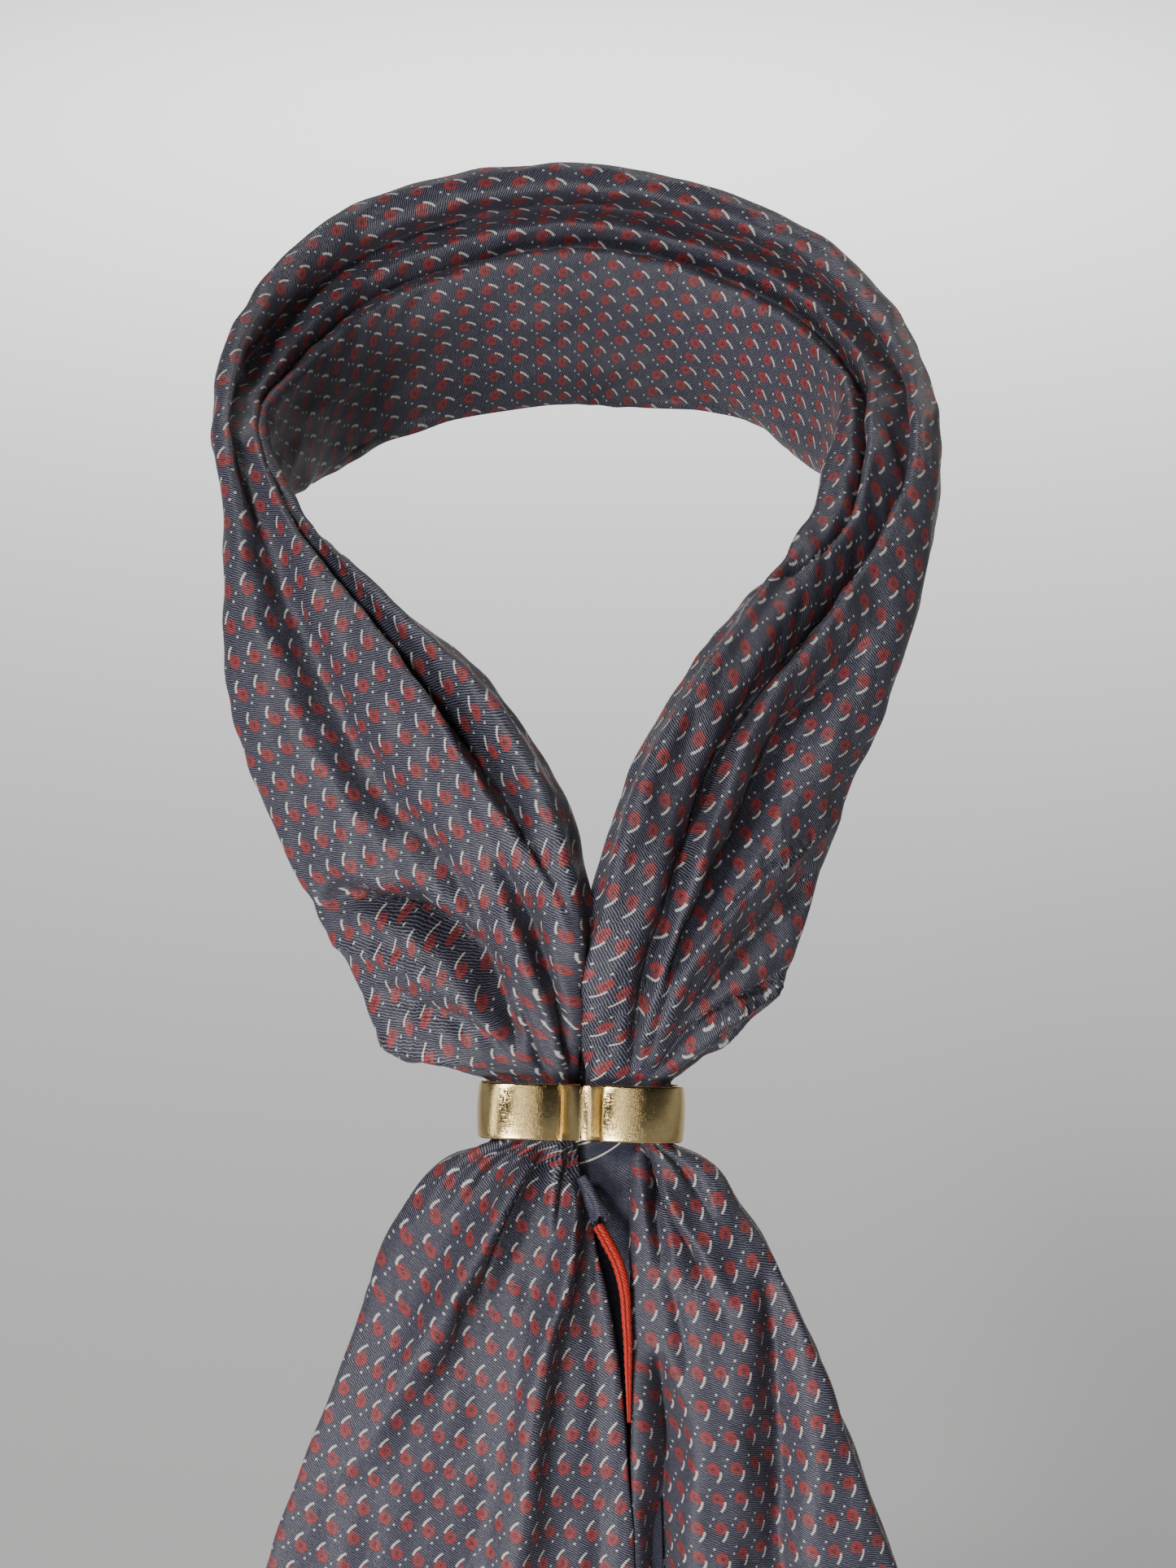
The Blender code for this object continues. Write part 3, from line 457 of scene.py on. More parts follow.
def cloth_shell(name, grid, flat, finish):
    """A thin closed shell about a grid of points."""
    rows, columns = grid.shape[:2]
    facing = normals(grid)
    points = np.concatenate([(grid + facing * SILK_THICKNESS / 2).reshape(-1, 3),
                             (grid - facing * SILK_THICKNESS / 2).reshape(-1, 3)])
    flat = np.tile(flat.reshape(-1, 2), (2, 1))
    under = rows * columns
    index = np.arange(under).reshape(rows, columns)
    first = index[:-1, :-1].ravel()
    quads = np.stack([first, first + columns, first + columns + 1, first + 1], axis=1)
    rim = np.concatenate([index[0], index[1:, -1], index[-1, -2::-1], index[-2:0:-1, 0]])
    after = np.roll(rim, -1)
    edge = np.stack([rim, after, under + after, under + rim], axis=1)
    return shell_piece(name, points, np.concatenate([quads, quads[:, ::-1] + under, edge]), flat, finish)


def shell_piece(name, points, faces, flat, finish):
    """A smooth piece. Its map called cloth holds each point's place on the flat cloth. Points and places come
    in millimetres and are kept in metres."""
    mesh = bpy.data.meshes.new(name)
    mesh.from_pydata((points * 0.001).tolist(), [], [list(face) for face in faces])
    mesh.shade_smooth()
    corners = np.empty(len(mesh.loops), np.int32)
    mesh.loops.foreach_get("vertex_index", corners)
    layer = mesh.uv_layers.new(name="cloth")
    layer.uv.foreach_set("vector", (flat[corners] * 0.001).astype(np.float32).ravel())
    mesh.materials.append(finish)
    piece = bpy.data.objects.new(name, mesh)
    scene.collection.objects.link(piece)
    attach(piece, "root")
    return piece


# -- the print and the weave --
# The repeat is a small round bud in brick red with a short white stroke at its shoulder and two pin dots
# below, on navy. BUD_STEP goes across the cloth and BUD_ROW along it, in millimetres.
BUD_STEP = (4.55, -0.65)
BUD_ROW = (0.97, 6.6)
BUD_RADII = (1.22, 1.5)
BUD_NOTCH = (0.45, 1.15, 0.45)        # place and radius
STROKE_CENTRE = (2.09, 0.09)
STROKE_RADIUS = 3.4
STROKE_WAY = (-0.84, 0.54)            # from its centre to its middle
STROKE_HALF_WIDTH = 0.23
STROKE_SPREAD = 0.928                 # cosine of half its arc
PIN_DOTS = ((2.02, -1.08), (1.08, -2.42))
PIN_RADIUS = 0.24
PRINT_SOFTNESS = 0.09
TWILL_WAY, RIB_WIDTH = (-0.50, 0.866), 0.42     # across the ribs
RIB_RELIEF, PRINT_RELIEF, RUMPLE_RELIEF = 0.10, 0.04, 1.6
SATIN, YARN_CHANGE = 0.30, 0.26       # roughness, and what the yarn's unevenness adds to it


def group(name, number, masks):
    """An empty node group that takes a place on the cloth and a number, and puts out masks from 0 to 1."""
    tree = bpy.data.node_groups.new(name, "ShaderNodeTree")
    tree.interface.new_socket("Place", in_out="INPUT", socket_type="NodeSocketVector")
    tree.interface.new_socket(number, in_out="INPUT", socket_type="NodeSocketFloat")
    for mask in masks:
        tree.interface.new_socket(mask, in_out="OUTPUT", socket_type="NodeSocketFloat")
    return tree, tree.nodes.new("NodeGroupInput").outputs, tree.nodes.new("NodeGroupOutput").inputs


def speckle(vector, scale, detail=2.0, stretch=(1, 1, 1)):
    """Noise read at vector times stretch."""
    tree = vector.id_data
    mapping = tree.nodes.new("ShaderNodeMapping")
    mapping.inputs["Scale"].default_value = stretch
    tree.links.new(vector, mapping.inputs["Vector"])
    node = tree.nodes.new("ShaderNodeTexNoise")
    node.inputs["Scale"].default_value = scale
    node.inputs["Detail"].default_value = detail
    tree.links.new(mapping.outputs[0], node.inputs["Vector"])
    return node.outputs["Fac"]


def length_of(x, y):
    return math_node("SQRT", plus(times(x, x), times(y, y)))


def shifted(x, y, place):
    return minus(x, place[0]), minus(y, place[1])


def printed(distance, radius):
    """1 inside radius, with the print's soft edge."""
    return soft_step(distance, radius - PRINT_SOFTNESS, radius + PRINT_SOFTNESS)


def bud_print():
    """Masks of the printed repeat, from a place on the flat cloth in millimetres and the twill's ribs."""
    tree, given, made = group("bud_print", "Ribs", ("Bud", "Heart", "White"))
    x = times(parts_of(given["Place"])["X"], -1.0)
    y = parts_of(given["Place"])["Y"]
    size = BUD_STEP[0] * BUD_ROW[1] - BUD_STEP[1] * BUD_ROW[0]
    parts = []
    for across, along in ((BUD_ROW[1], -BUD_ROW[0]), (-BUD_STEP[1], BUD_STEP[0])):
        place = plus(times(x, across / size), times(y, along / size))
        parts.append(minus(math_node("FRACT", plus(place, 0.5)), 0.5))
    dx, dy = (plus(times(parts[0], step), times(parts[1], row))
              for step, row in zip(BUD_STEP, BUD_ROW))
    spots = minus(speckle(given["Place"], 2.6), 0.5)
    saw = minus(0.5, given["Ribs"])
    ragged = plus(times(spots, 0.36), times(saw, 0.16))
    # the bud
    from_middle = length_of(*(math_node("DIVIDE", part, radius) for part, radius in zip((dx, dy), BUD_RADII)))
    bud = soft_step(plus(from_middle, ragged), 0.94, 1.08)
    notch = printed(plus(length_of(*shifted(dx, dy, BUD_NOTCH[:2])), ragged), BUD_NOTCH[2])
    bud = times(bud, minus(1.0, times(notch, 0.85)))
    heart = soft_step(plus(from_middle, times(spots, 2.2)), 0.16, 0.42)
    # the stroke
    sx, sy = shifted(dx, dy, STROKE_CENTRE)
    reach = length_of(sx, sy)
    off = math_node("ABSOLUTE", minus(reach, STROKE_RADIUS))
    off = plus(off, times(ragged, 0.55))
    line = printed(off, STROKE_HALF_WIDTH)
    turn = math_node("DIVIDE", plus(times(sx, STROKE_WAY[0]), times(sy, STROKE_WAY[1])), reach)
    ends = minus(1.0, soft_step(turn, STROKE_SPREAD - 0.01, STROKE_SPREAD + 0.01))
    white = times(line, ends)
    for dot in PIN_DOTS:
        white = math_node("MAXIMUM", white, printed(length_of(*shifted(dx, dy, dot)), PIN_RADIUS))
    for mask, socket in ((bud, "Bud"), (heart, "Heart"), (white, "White")):
        tree.links.new(mask, made[socket])
    return tree


def silk_twill():
    """The twill's diagonal ribs, the unevenness of its yarn and its soft rumples, all from 0 to 1."""
    tree, given, made = group("silk_twill", "Rib", ("Ribs", "Yarn", "Rumple"))
    place = parts_of(given["Place"])
    diagonal = plus(times(place["X"], TWILL_WAY[0]), times(place["Y"], TWILL_WAY[1]))
    wander = times(speckle(given["Place"], 0.9), 0.5)
    phase = math_node("DIVIDE", plus(diagonal, wander), given["Rib"])
    ribs = plus(times(math_node("SINE", times(phase, 2 * math.pi)), 0.5), 0.5)
    yarn = speckle(given["Place"], 1.0, 3.0, (0.35, 2.6, 1))
    rumple = speckle(given["Place"], 0.11, 3.0, (1.0, 0.42, 1))
    for height, socket in ((ribs, "Ribs"), (yarn, "Yarn"), (rumple, "Rumple")):
        tree.links.new(height, made[socket])
    return tree


def mixed(share, first, second):
    """A colour mix. first and second are colours or sockets."""
    tree = share.id_data
    node = tree.nodes.new("ShaderNodeMix")
    node.data_type = "RGBA"
    tree.links.new(share, node.inputs[0])
    for socket, value in ((node.inputs[6], first), (node.inputs[7], second)):
        if isinstance(value, tuple):
            socket.default_value = (*value, 1)
        else:
            tree.links.new(value, socket)
    return node.outputs[2]


# The navy runs from NAVY_GROUND to NAVY_RIB_SHEEN along the twill's rib crests: partly the weave's own tone, partly
# painted sheen and glints. The red runs from BRICK_DARK to BRICK_RED and the white from a darker white to OFF_WHITE by
# the same painted rib sheen.
NAVY_GROUND = (0.012, 0.013, 0.026)
NAVY_RIB_SHEEN = (0.175, 0.180, 0.230)
BRICK_RED = (0.36, 0.066, 0.066)
BRICK_DARK = (0.085, 0.013, 0.018)
OFF_WHITE = (0.66, 0.65, 0.62)
BUD_PRINT = bud_print()
SILK_TWILL = silk_twill()


def cloth_place(tree):
    """The place on the flat cloth in millimetres."""
    where = tree.nodes.new("ShaderNodeUVMap")
    where.uv_map = "cloth"
    place = tree.nodes.new("ShaderNodeVectorMath")
    place.operation = "SCALE"
    place.inputs["Scale"].default_value = 1000
    tree.links.new(where.outputs[0], place.inputs[0])
    return place.outputs[0]


def in_relief(height, strength, distance):
    """A Bump node before the material's shader."""
    tree = height.id_data
    bump = tree.nodes.new("ShaderNodeBump")
    bump.inputs["Strength"].default_value = strength
    bump.inputs["Distance"].default_value = distance
    tree.links.new(height, bump.inputs["Height"])
    tree.links.new(bump.outputs[0], tree.nodes["Principled BSDF"].inputs["Normal"])


def silk(name, buds=False, ground=NAVY_GROUND, light=NAVY_RIB_SHEEN, lines=()):
    """Silk twill: ribs, uneven yarn and soft rumples in its relief, and a satin gloss. lines are thin white
    curved lines, each a centre and a radius on the flat cloth in millimetres."""
    finish, tree, shader = material(name)
    place = cloth_place(tree)
    weave = tree.nodes.new("ShaderNodeGroup")
    weave.node_tree = SILK_TWILL
    weave.inputs["Rib"].default_value = RIB_WIDTH
    tree.links.new(place, weave.inputs["Place"])
    # rib_sheen: lighter on the twill's rib crests, scaled by the yarn's unevenness. It is partly the weave's own tone
    # and partly painted sheen and glints, mixed into the colour below.
    rib_sheen = times(math_node("POWER", weave.outputs["Ribs"], 3.0), plus(0.25, weave.outputs["Yarn"]), clamp=True)
    colour = mixed(rib_sheen, ground, light)
    height = times(weave.outputs["Ribs"], RIB_RELIEF)
    if buds:
        repeat = tree.nodes.new("ShaderNodeGroup")
        repeat.node_tree = BUD_PRINT
        tree.links.new(place, repeat.inputs["Place"])
        tree.links.new(weave.outputs["Ribs"], repeat.inputs["Ribs"])
        # painted sheen: the red and the white are lighter on the rib crests as well
        red = mixed(plus(times(rib_sheen, 0.7), 0.30, clamp=True), BRICK_DARK, BRICK_RED)
        red = mixed(times(repeat.outputs["Heart"], 0.6), red, ground)
        colour = mixed(times(repeat.outputs["Bud"], 0.95), colour, red)
        white = mixed(rib_sheen, tuple(0.62 * part for part in OFF_WHITE), OFF_WHITE)
        colour = mixed(repeat.outputs["White"], colour, white)
        height = plus(height, times(repeat.outputs["White"], PRINT_RELIEF))
    for across, along, reach in lines:
        from_centre = length_of(*shifted(parts_of(place)["X"], parts_of(place)["Y"], (across, along)))
        off = math_node("ABSOLUTE", minus(from_centre, reach))
        colour = mixed(soft_step(off, 0.12, 0.24), colour, OFF_WHITE)
    tree.links.new(colour, shader.inputs["Base Color"])
    in_relief(plus(height, times(weave.outputs["Rumple"], RUMPLE_RELIEF)), 0.85, 0.001)
    tree.links.new(plus(SATIN, times(weave.outputs["Yarn"], YARN_CHANGE)), shader.inputs["Roughness"])
    for socket, value in (("Specular IOR Level", 0.38), ("Sheen Weight", 0.05), ("Sheen Roughness", 0.35),
                          ("Sheen Tint", (0.90, 0.72, 0.55, 1))):
        shader.inputs[socket].default_value = value
    return finish


printed_silk = silk("printed_silk_twill", buds=True)

loop_rails = [("left " + row[0], *row[1:]) for row in reversed(LEFT_RAILS)]
loop_rails += [NAPE_RAIL] + [("right " + row[0], *row[1:]) for row in RIGHT_RAILS]
loop_face = np.array([*reversed(FRONT_FACE), NAPE_FACE, *FRONT_FACE])
loop_keys = ["left " + key for key in reversed(FACE_KEYS)] + ["nape"] + ["right " + key for key in FACE_KEYS]
loop_surface, loop_knots = stretch_surface(loop_rails, loop_face, loop_keys)
loop_run = np.linspace(0, loop_knots[-1], round(loop_knots[-1] / LOOP_FACE))
loop_base = rounded(loop_surface(loop_run), FACES_PER_FOLD)
loop_grid = eased(pressed(loop_base, loop_run, LOOP_CREASES))
loop_flat = laid_flat(loop_base, loop_grid, loop_run)
scarf_loop = cloth_shell("scarf_loop", ruffled(loop_grid, loop_flat, 0.28), loop_flat, printed_silk)
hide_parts("neck_back", "front_left", "front_right")


# ---- the inner layer ----
# Where the two fronts meet above the ring, a layer from inside the folded square shows between them. It is the
# same printed twill, gathered, and the ring holds it in place.
def grid_of(*parts):
    """A grid of places from their separate numbers."""
    return np.stack(np.broadcast_arrays(*parts), axis=2)


def strip(rows, bow, step, columns):
    """A narrow strip of cloth that hangs down. Each row: left, right, y, z; its middle stands forward by bow."""
    table = np.array(rows, float)
    knots = np.concatenate([[0], np.cumsum(np.linalg.norm(np.diff(table[:, 2:], axis=0), axis=1))])
    run = np.linspace(0, knots[-1], round(knots[-1] / step))
    left, right, forward, height = through(knots, table, run)[:, :, None].transpose(1, 0, 2)
    share = np.linspace(0, 1, columns)[None]
    return grid_of(left + (right - left) * share, forward - bow * (1 - (2 * share - 1) ** 2), height), run


INNER_FOLD_ROWS = ((-6, 4, -72.6, -82), (-6, 4, -72.4, -92), (-5, 3, -73.4, -101.2), (-5, 3, -74.6, -107.8))
fold_grid, fold_run = strip(INNER_FOLD_ROWS, bow=1.8, step=0.6, columns=25)
inner_fold = cloth_shell("inner_fold", fold_grid, laid_flat(fold_grid, fold_grid, fold_run), printed_silk)

# ---- the two ends ----
# Below the ring the gathered cloth opens into soft pleats that fan out to the ends. It is the same printed
# twill, finished at the bottom with a plain navy border and a red hem, rolled and sewn by hand.
TAIL_KEYS = ("ring", "brim", "spread", "middle", "frame", "end", "hem")
LEFT_END_RAILS = (
    ("ring", -3.4, -82.2, -111.4, -19.0, -82.2, -111.3, 0, 3.2, 3.2, 6, 6),
    ("lip", -2.9, -84.7, -116.3, -19.2, -84.7, -116.3, 0, 3.2, 3.2, 5, 6),
    ("brim", -2.4, -86, -118.8, -27.2, -86.1, -119, 0, 3.2, 4, 4, 7),
    ("spread", 0.6, -94, -131, -38.5, -92, -131, 0, 4, 5, 3, 9),
    ("middle", 5.4, -105, -154, -47, -102, -152, 0, 5, 6, 3, 12),
    ("frame", 8.8, -115, -190, -61, -112, -188, 0, 5, 6, 3, 15),
    ("end", 9.7, -118, -225, -72, -116, -225, 0, 4.5, 6, 3, 16),
    ("hem", 10.5, -119, -262, -81, -117, -265, 0, 4, 5, 3, 16),
)
RIGHT_END_RAILS = (
    ("ring", 10.2, -82.2, -111.4, 16.4, -82.3, -111.6, 0, 3.2, 3.2, 2, 2),
    ("lip", 10.2, -85.1, -117, 16.6, -85.1, -117.1, 0, 3.2, 3.2, 2, 2),
    ("brim", 9.4, -86.2, -119.2, 21.6, -86.2, -119.2, 0, 3.2, 4, 3, 4),
    ("spread", 8.9, -93, -131, 31.5, -92, -129, 0, 4, 5, 3, 7),
    ("middle", 8.8, -104, -154, 43, -102, -149, 0, 5, 6, 3, 12),
    ("frame", 9.4, -114, -190, 58, -112, -188, 0, 5.5, 6, 3, 15),
    ("end", 10.2, -117, -225, 70, -116, -225, 0, 5, 6, 3, 16),
    ("hem", 11.0, -118, -265, 82, -117, -262, 0, 4, 5, 3, 16),
)
LEFT_END_FACE = (
    (1.8, 2.6, 3, 3.2, 3.3, 3.2, 3, 2.6, 1.8),
    (1.2, 2, 2.6, 2.8, 2.9, 2.8, 2.6, 2.2, 1.6),
    (.8, 1.6, 2.4, 3, 3.2, 3.4, 3.4, 3, 2.2),
    (.4, 1, 1.8, 2.4, 2.8, 3.2, 3.4, 3, 2.2),
    (.3, .8, 1.4, 1.8, 2.2, 2.6, 2.8, 2.6, 1.9),
    (.6, 2, .8, 2.2, 1.6, 2.8, 1.8, 2.8, 1.6),
    (.6, 3, .6, 3.2, .8, 3.4, 1, 3, 1.4),
)
RIGHT_END_FACE = (
    (1, 1.4, 1.8, 2, 2, 2, 1.8, 1.4, 1),
    (1.2, 1.6, 1.9, 2, 2.1, 2, 1.9, 1.6, 1.2),
    (1.5, 2, 2.4, 2.8, 3, 3, 2.8, 2.4, 1.8),
    (1.2, 1.8, 2.4, 3, 3.4, 3.4, 3.2, 2.6, 1.6),
    (1.2, 1.6, 2.2, 2.8, 3.2, 3.2, 2.8, 2.2, 1.4),
    (.8, 2, 1, 2.6, 2, 3.2, 2, 2.6, 1.4),
    (.6, 3, .6, 3.2, .8, 3.4, 1, 3, 1.4),
)
LEFT_END_CREASES = (
    ("first trough", (8, .31, -2.03, 1, 2), (12, .335, -5.07, 1, 3), (17, .375, -7.44, 1, 4),
     (25, .475, -8.11, 1.1, 5), (35, .58, -7.77, 1.6, 5.5), (46, .69, -6.42, 3, 5.5), (56, .765, -4.73, 4, 5),
     (68, .82, -2.37, 4.5), (80, .86, -.68, 4.5)),
    ("pleat over it", (8, .27, .86, 2, .9, .3), (13, .30, 2.02, 2.4, .9, .8), (20, .375, 2.59, 3, .9, 1.2),
     (27, .44, 2.3, 3.4, .9, 1), (35, .50, 1.3, 3.6, 1.2, .4), (44, .56, .29, 3.6, 2)),
    ("slit", (6, .13, -.78, .8), (10, .145, -2.86, .8), (16, .175, -3.38, .8, .9), (22, .2, -2.08, .9, 1),
     (29, .21, -.52, 1)),
    ("inner trough", (14, .07, -1.09, 1, 1.2), (20, .08, -4.71, 1.2, 1.6), (28, .12, -7.25, 1.4, 2.2),
     (36, .18, -8.34, 1.8, 2.8), (45, .26, -8.34, 2.2, 3.4), (56, .3, -7.61, 2.6, 4), (68, .312, -6.89, 3, 4.4),
     (80, .315, -6.16, 3.4, 5), (100, .32, -5.44, 4, 5.5), (130, .33, -4.71, 4.5, 6), (152, .34, -3.62, 4.5, 6)),
    ("edge pleat", (24, .04, .3, 1, 1.4), (36, .06, 1, 1.6), (60, .09, 1.2, 2, 2.4), (100, .1, 1, 2.4, 3),
     (150, .1, 1, 2.4, 3)),
    ("gather at the ring", (4, .62, -.5, .9), (9, .64, -1.8, 1, 1.2), (16, .69, -1.6, 1.2, 1.6),
     (26, .76, -.6, 1.6, 2)),
    ("outer gather", (4, .82, -.4, .9), (9, .83, -1.4, 1, 1.2), (17, .86, -1.2, 1.2, 1.6), (28, .89, -.4, 1.6, 2)),
    ("inner gather", (4, .46, -.4, .8), (8, .47, -1.5, .9), (14, .5, -1, 1), (20, .53, -.3, 1)),
)
RIGHT_END_CREASES = (
    ("trough beside the strip", (6, .15, -1.08, .8, 1), (10, .165, -3.51, .8, 1.6), (15, .175, -4.59, .8, 2.2),
     (21, .185, -4.32, .9, 2.4), (27, .205, -2.7, 1, 2.2), (33, .225, -.81, 1.2, 2)),
    ("slanting fold", (11, .2, -1.25, 1.2, .9), (16, .26, -4.37, 1.8, .9), (22, .375, -5.3, 2.4, 1),
     (30, .47, -4.37, 2.8, 1.2), (38, .55, -1.87, 3, 1.6), (46, .6, -.47, 3, 2)),
    ("pleat beyond it", (12, .29, .72, .9, 2, -.3), (18, .36, 2.02, .9, 2.6, -.8), (25, .46, 2.02, .9, 3, -.8),
     (34, .545, 1.15, 1.2, 3.2, -.3), (44, .61, .29, 1.6, 3)),
    ("short wrinkle", (32, .25, -.42, 1.2), (40, .28, -1.54, 1.4), (48, .3, -1.12, 1.6), (56, .31, -.28, 1.6)),
    ("deep trough", (46, .15, -.9, 1.4), (53, .14, -4.5, 1.6, 2.2), (61, .14, -7.5, 2, 3), (70, .145, -8.7, 2.2, 3.6),
     (81, .115, -9, 2.4, 4), (95, .095, -9, 2.6, 4.4), (120, .1, -8.1, 3, 4.6), (152, .11, -6, 3, 4.6)),
    ("outer trough", (32, .93, -1.01, 3, 2), (43, .9, -4.05, 4, 2.6), (58, .79, -6.75, 5, 3.4), (72, .7, -7.76, 6, 4),
     (82, .65, -8.1, 6.5, 4.4), (95, .57, -7.76, 6.5, 5), (120, .55, -6.75, 6.5, 5.5), (152, .55, -4.39, 6, 5.5)),
    ("gather at the ring", (4, .55, -.4, .8), (9, .6, -1.3, 1), (16, .67, -1.2, 1.2, 1.4), (26, .74, -.4, 1.6, 1.8)),
)
END_FACE = 1.2            # millimetres along an end
BORDER_WIDTH = 9          # of the plain border along the bottom
STITCH_GAP, STITCH_DEPTH = 3.2, 0.13        # between a rolled hem's stitches, and the share that one draws in

# The border is plain navy twill, lighter on its rib crests with painted sheen. Two thin white lines curve across it
# just below the ring.
BORDER_GROUND, BORDER_RIB_SHEEN = (0.018, 0.021, 0.040), (0.095, 0.100, 0.140)
BORDER_LINES = ((-5.5, -5.4, 16.0), (-5.5, -5.4, 12.2))
border_silk = silk("navy_border_silk", ground=BORDER_GROUND, light=BORDER_RIB_SHEEN)
lined_silk = silk("lined_border_silk", ground=BORDER_GROUND, light=BORDER_RIB_SHEEN, lines=BORDER_LINES)
# The hem's red goes from its ground to a light red on the rib crests: painted sheen.
red_silk = silk("red_hem_silk", ground=(0.36, 0.014, 0.009), light=(0.78, 0.060, 0.030))


def rolled_edge(name, line, radius, finish, sides=10):
    """A rolled edge along a line of points in millimetres, drawn in a little by each of its stitches."""
    line, radius = np.asarray(line, float), np.asarray(radius, float)
    along = np.concatenate([[0], np.cumsum(np.linalg.norm(np.diff(line, axis=0), axis=1))])
    radius = radius * (1 - STITCH_DEPTH * np.cos(along * 2 * math.pi / STITCH_GAP) ** 8)
    ahead = unit(np.gradient(line, axis=0))
    aside = unit(np.cross(ahead, (0.0, -1.0, 0.2)))
    front = np.cross(aside, ahead)
    turns = np.arange(sides) * 2 * math.pi / sides + math.pi / 2
    ring = aside[:, None] * np.cos(turns)[:, None] + front[:, None] * np.sin(turns)[:, None]
    points = (line[:, None] + ring * radius[:, None, None]).reshape(-1, 3)
    flat = grid_of(along[:, None], turns * radius.mean()).reshape(-1, 2)
    faces = [(r * sides + k, r * sides + (k + 1) % sides, (r + 1) * sides + (k + 1) % sides, (r + 1) * sides + k)
             for r in range(len(line) - 1) for k in range(sides)]
    faces += [tuple(range(sides))[::-1], tuple(range((len(line) - 1) * sides, len(line) * sides))]
    return shell_piece(name, points, faces, flat, finish)


for name, node, rails, face, creases, side, cut, cut_area in (
        ("left_end", "tail_left", LEFT_END_RAILS, LEFT_END_FACE, LEFT_END_CREASES, -1, (0.121, 0.162), 0.0160),
        ("right_end", "tail_right", RIGHT_END_RAILS, RIGHT_END_FACE, RIGHT_END_CREASES, 1, (0.105, 0.163), 0.0130)):
    surface, knots = stretch_surface(rails, face, TAIL_KEYS, side)
    run = np.linspace(0, knots[-1], round(knots[-1] / END_FACE))
    base = rounded(surface(run), FACES_PER_FOLD)
    grid = eased(pressed(base, run, creases))
    flat = laid_flat(base, grid, run)
    grid = ruffled(grid, flat, 0.25)
    flat[..., 1] = -flat[..., 1] if side < 0 else loop_knots[-1] + flat[..., 1]
    end = cloth_shell(name, grid, flat, printed_silk)
    end.data.materials.append(border_silk)
    first_row = len(run) - round(BORDER_WIDTH / END_FACE)
    below = np.concatenate([np.tile(np.repeat(np.arange(len(run) - 1) >= first_row, grid.shape[1] - 1), 2),
                            np.zeros(len(end.data.polygons) - 2 * (len(run) - 1) * (grid.shape[1] - 1), bool)])
    end.data.polygons.foreach_set("material_index", below.astype(np.int32))
    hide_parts(node)
    hem = rolled_edge(name + "_hem", grid[-1, ::2], np.full(len(grid[-1, ::2]), 0.95), red_silk)

# ---- the border between the ends ----
# Along its edge the square has a plain navy border, finished with a red hem that is rolled and sewn by hand.
# A length of it comes down through the ring behind the two ends, with a worn corner turned back on itself.
BORDER_ROWS = ((.4, 9.7, -82.9, -112.2), (0, 9.8, -82.6, -117.0), (-4.4, 11.5, -82.2, -119.2), (-5, 12, -85.4, -128),
               (-1, 13, -94.5, -150), (2, 14, -100.5, -168), (4, 15, -107, -190), (5, 16, -111, -255))
BORDER_TOP = BORDER_ROWS[0][3]
border_grid, _ = strip(BORDER_ROWS, bow=.9, step=1.0, columns=41)
border_flat = grid_of(border_grid[..., 0], BORDER_TOP - border_grid[..., 2])
border = cloth_shell("border_panel_silk", border_grid, border_flat, lined_silk)
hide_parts("border_panel")

# The worn corner is frayed, rolled back on itself, and stands open at its lower end.
CORNER_POINTS = ((-1.4, -89.2, -122.2), (0, -91.2, -124.2), (1.4, -93.4, -126.4), (2.7, -95.4, -128.2))
CORNER_ROWS, CORNER_COLUMNS = 24, 41
corner_line = through([0, 2.5, 5, 7.5], CORNER_POINTS, np.linspace(0, 7.5, CORNER_ROWS))
turns = np.radians(np.linspace(-70, 330, CORNER_COLUMNS))
corner_ahead = unit(np.gradient(corner_line, axis=0))
corner_aside = unit(np.cross(corner_ahead, (0.3, -1.0, 0.3)))
corner_front = np.cross(corner_aside, corner_ahead)
crumple = (1 + 0.12 * np.sin(3 * turns + 1.1)[None] * np.linspace(0.4, 1.3, CORNER_ROWS)[:, None]
           + 0.09 * np.sin(np.linspace(0, 9, CORNER_ROWS))[:, None] * np.cos(5 * turns)[None])
rolled = np.linspace(1.0, 2.0, CORNER_ROWS)[:, None] * np.linspace(0.72, 1.15, CORNER_COLUMNS)[None] * crumple
fray = noise.normal(0, 0.45, CORNER_COLUMNS)
corner_grid = (corner_line[:, None] + corner_aside[:, None] * (rolled * np.cos(turns))[..., None]
               + corner_front[:, None] * (0.8 * rolled * np.sin(turns))[..., None])
corner_grid[-1] += corner_ahead[-1] * fray[:, None]
corner_flat = grid_of(np.radians(np.linspace(0, 400, CORNER_COLUMNS)) * 1.8, np.linspace(0, 9, CORNER_ROWS)[:, None])
worn_corner = cloth_shell("worn_corner", corner_grid, corner_flat, border_silk)

# The hem is rolled tight and sewn, thick at the corner and thin where it goes in between the ends.
HEM_POINTS = ((1.9, -94.8, -129.8), (3.7, -96.5, -132.4), (6.0, -98.5, -136.6), (7.3, -100.7, -141.3),
              (7.7, -102.9, -146.1), (8.0, -105.1, -151.0), (8.1, -106.9, -156.1), (8.2, -108.2, -161.6),
              (8.3, -109.5, -167.2))
HEM_RADII = (1.15, 1.3, 1.3, 1.2, 1.05, .95, .8, .6, .4)
hem_places = np.linspace(0, len(HEM_POINTS) - 1, 110)
hem_knots = np.arange(len(HEM_POINTS))
border_hem = rolled_edge("red_rolled_hem", through(hem_knots, HEM_POINTS, hem_places),
                         np.interp(hem_places, hem_knots, HEM_RADII), red_silk, 16)
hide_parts("red_hem")

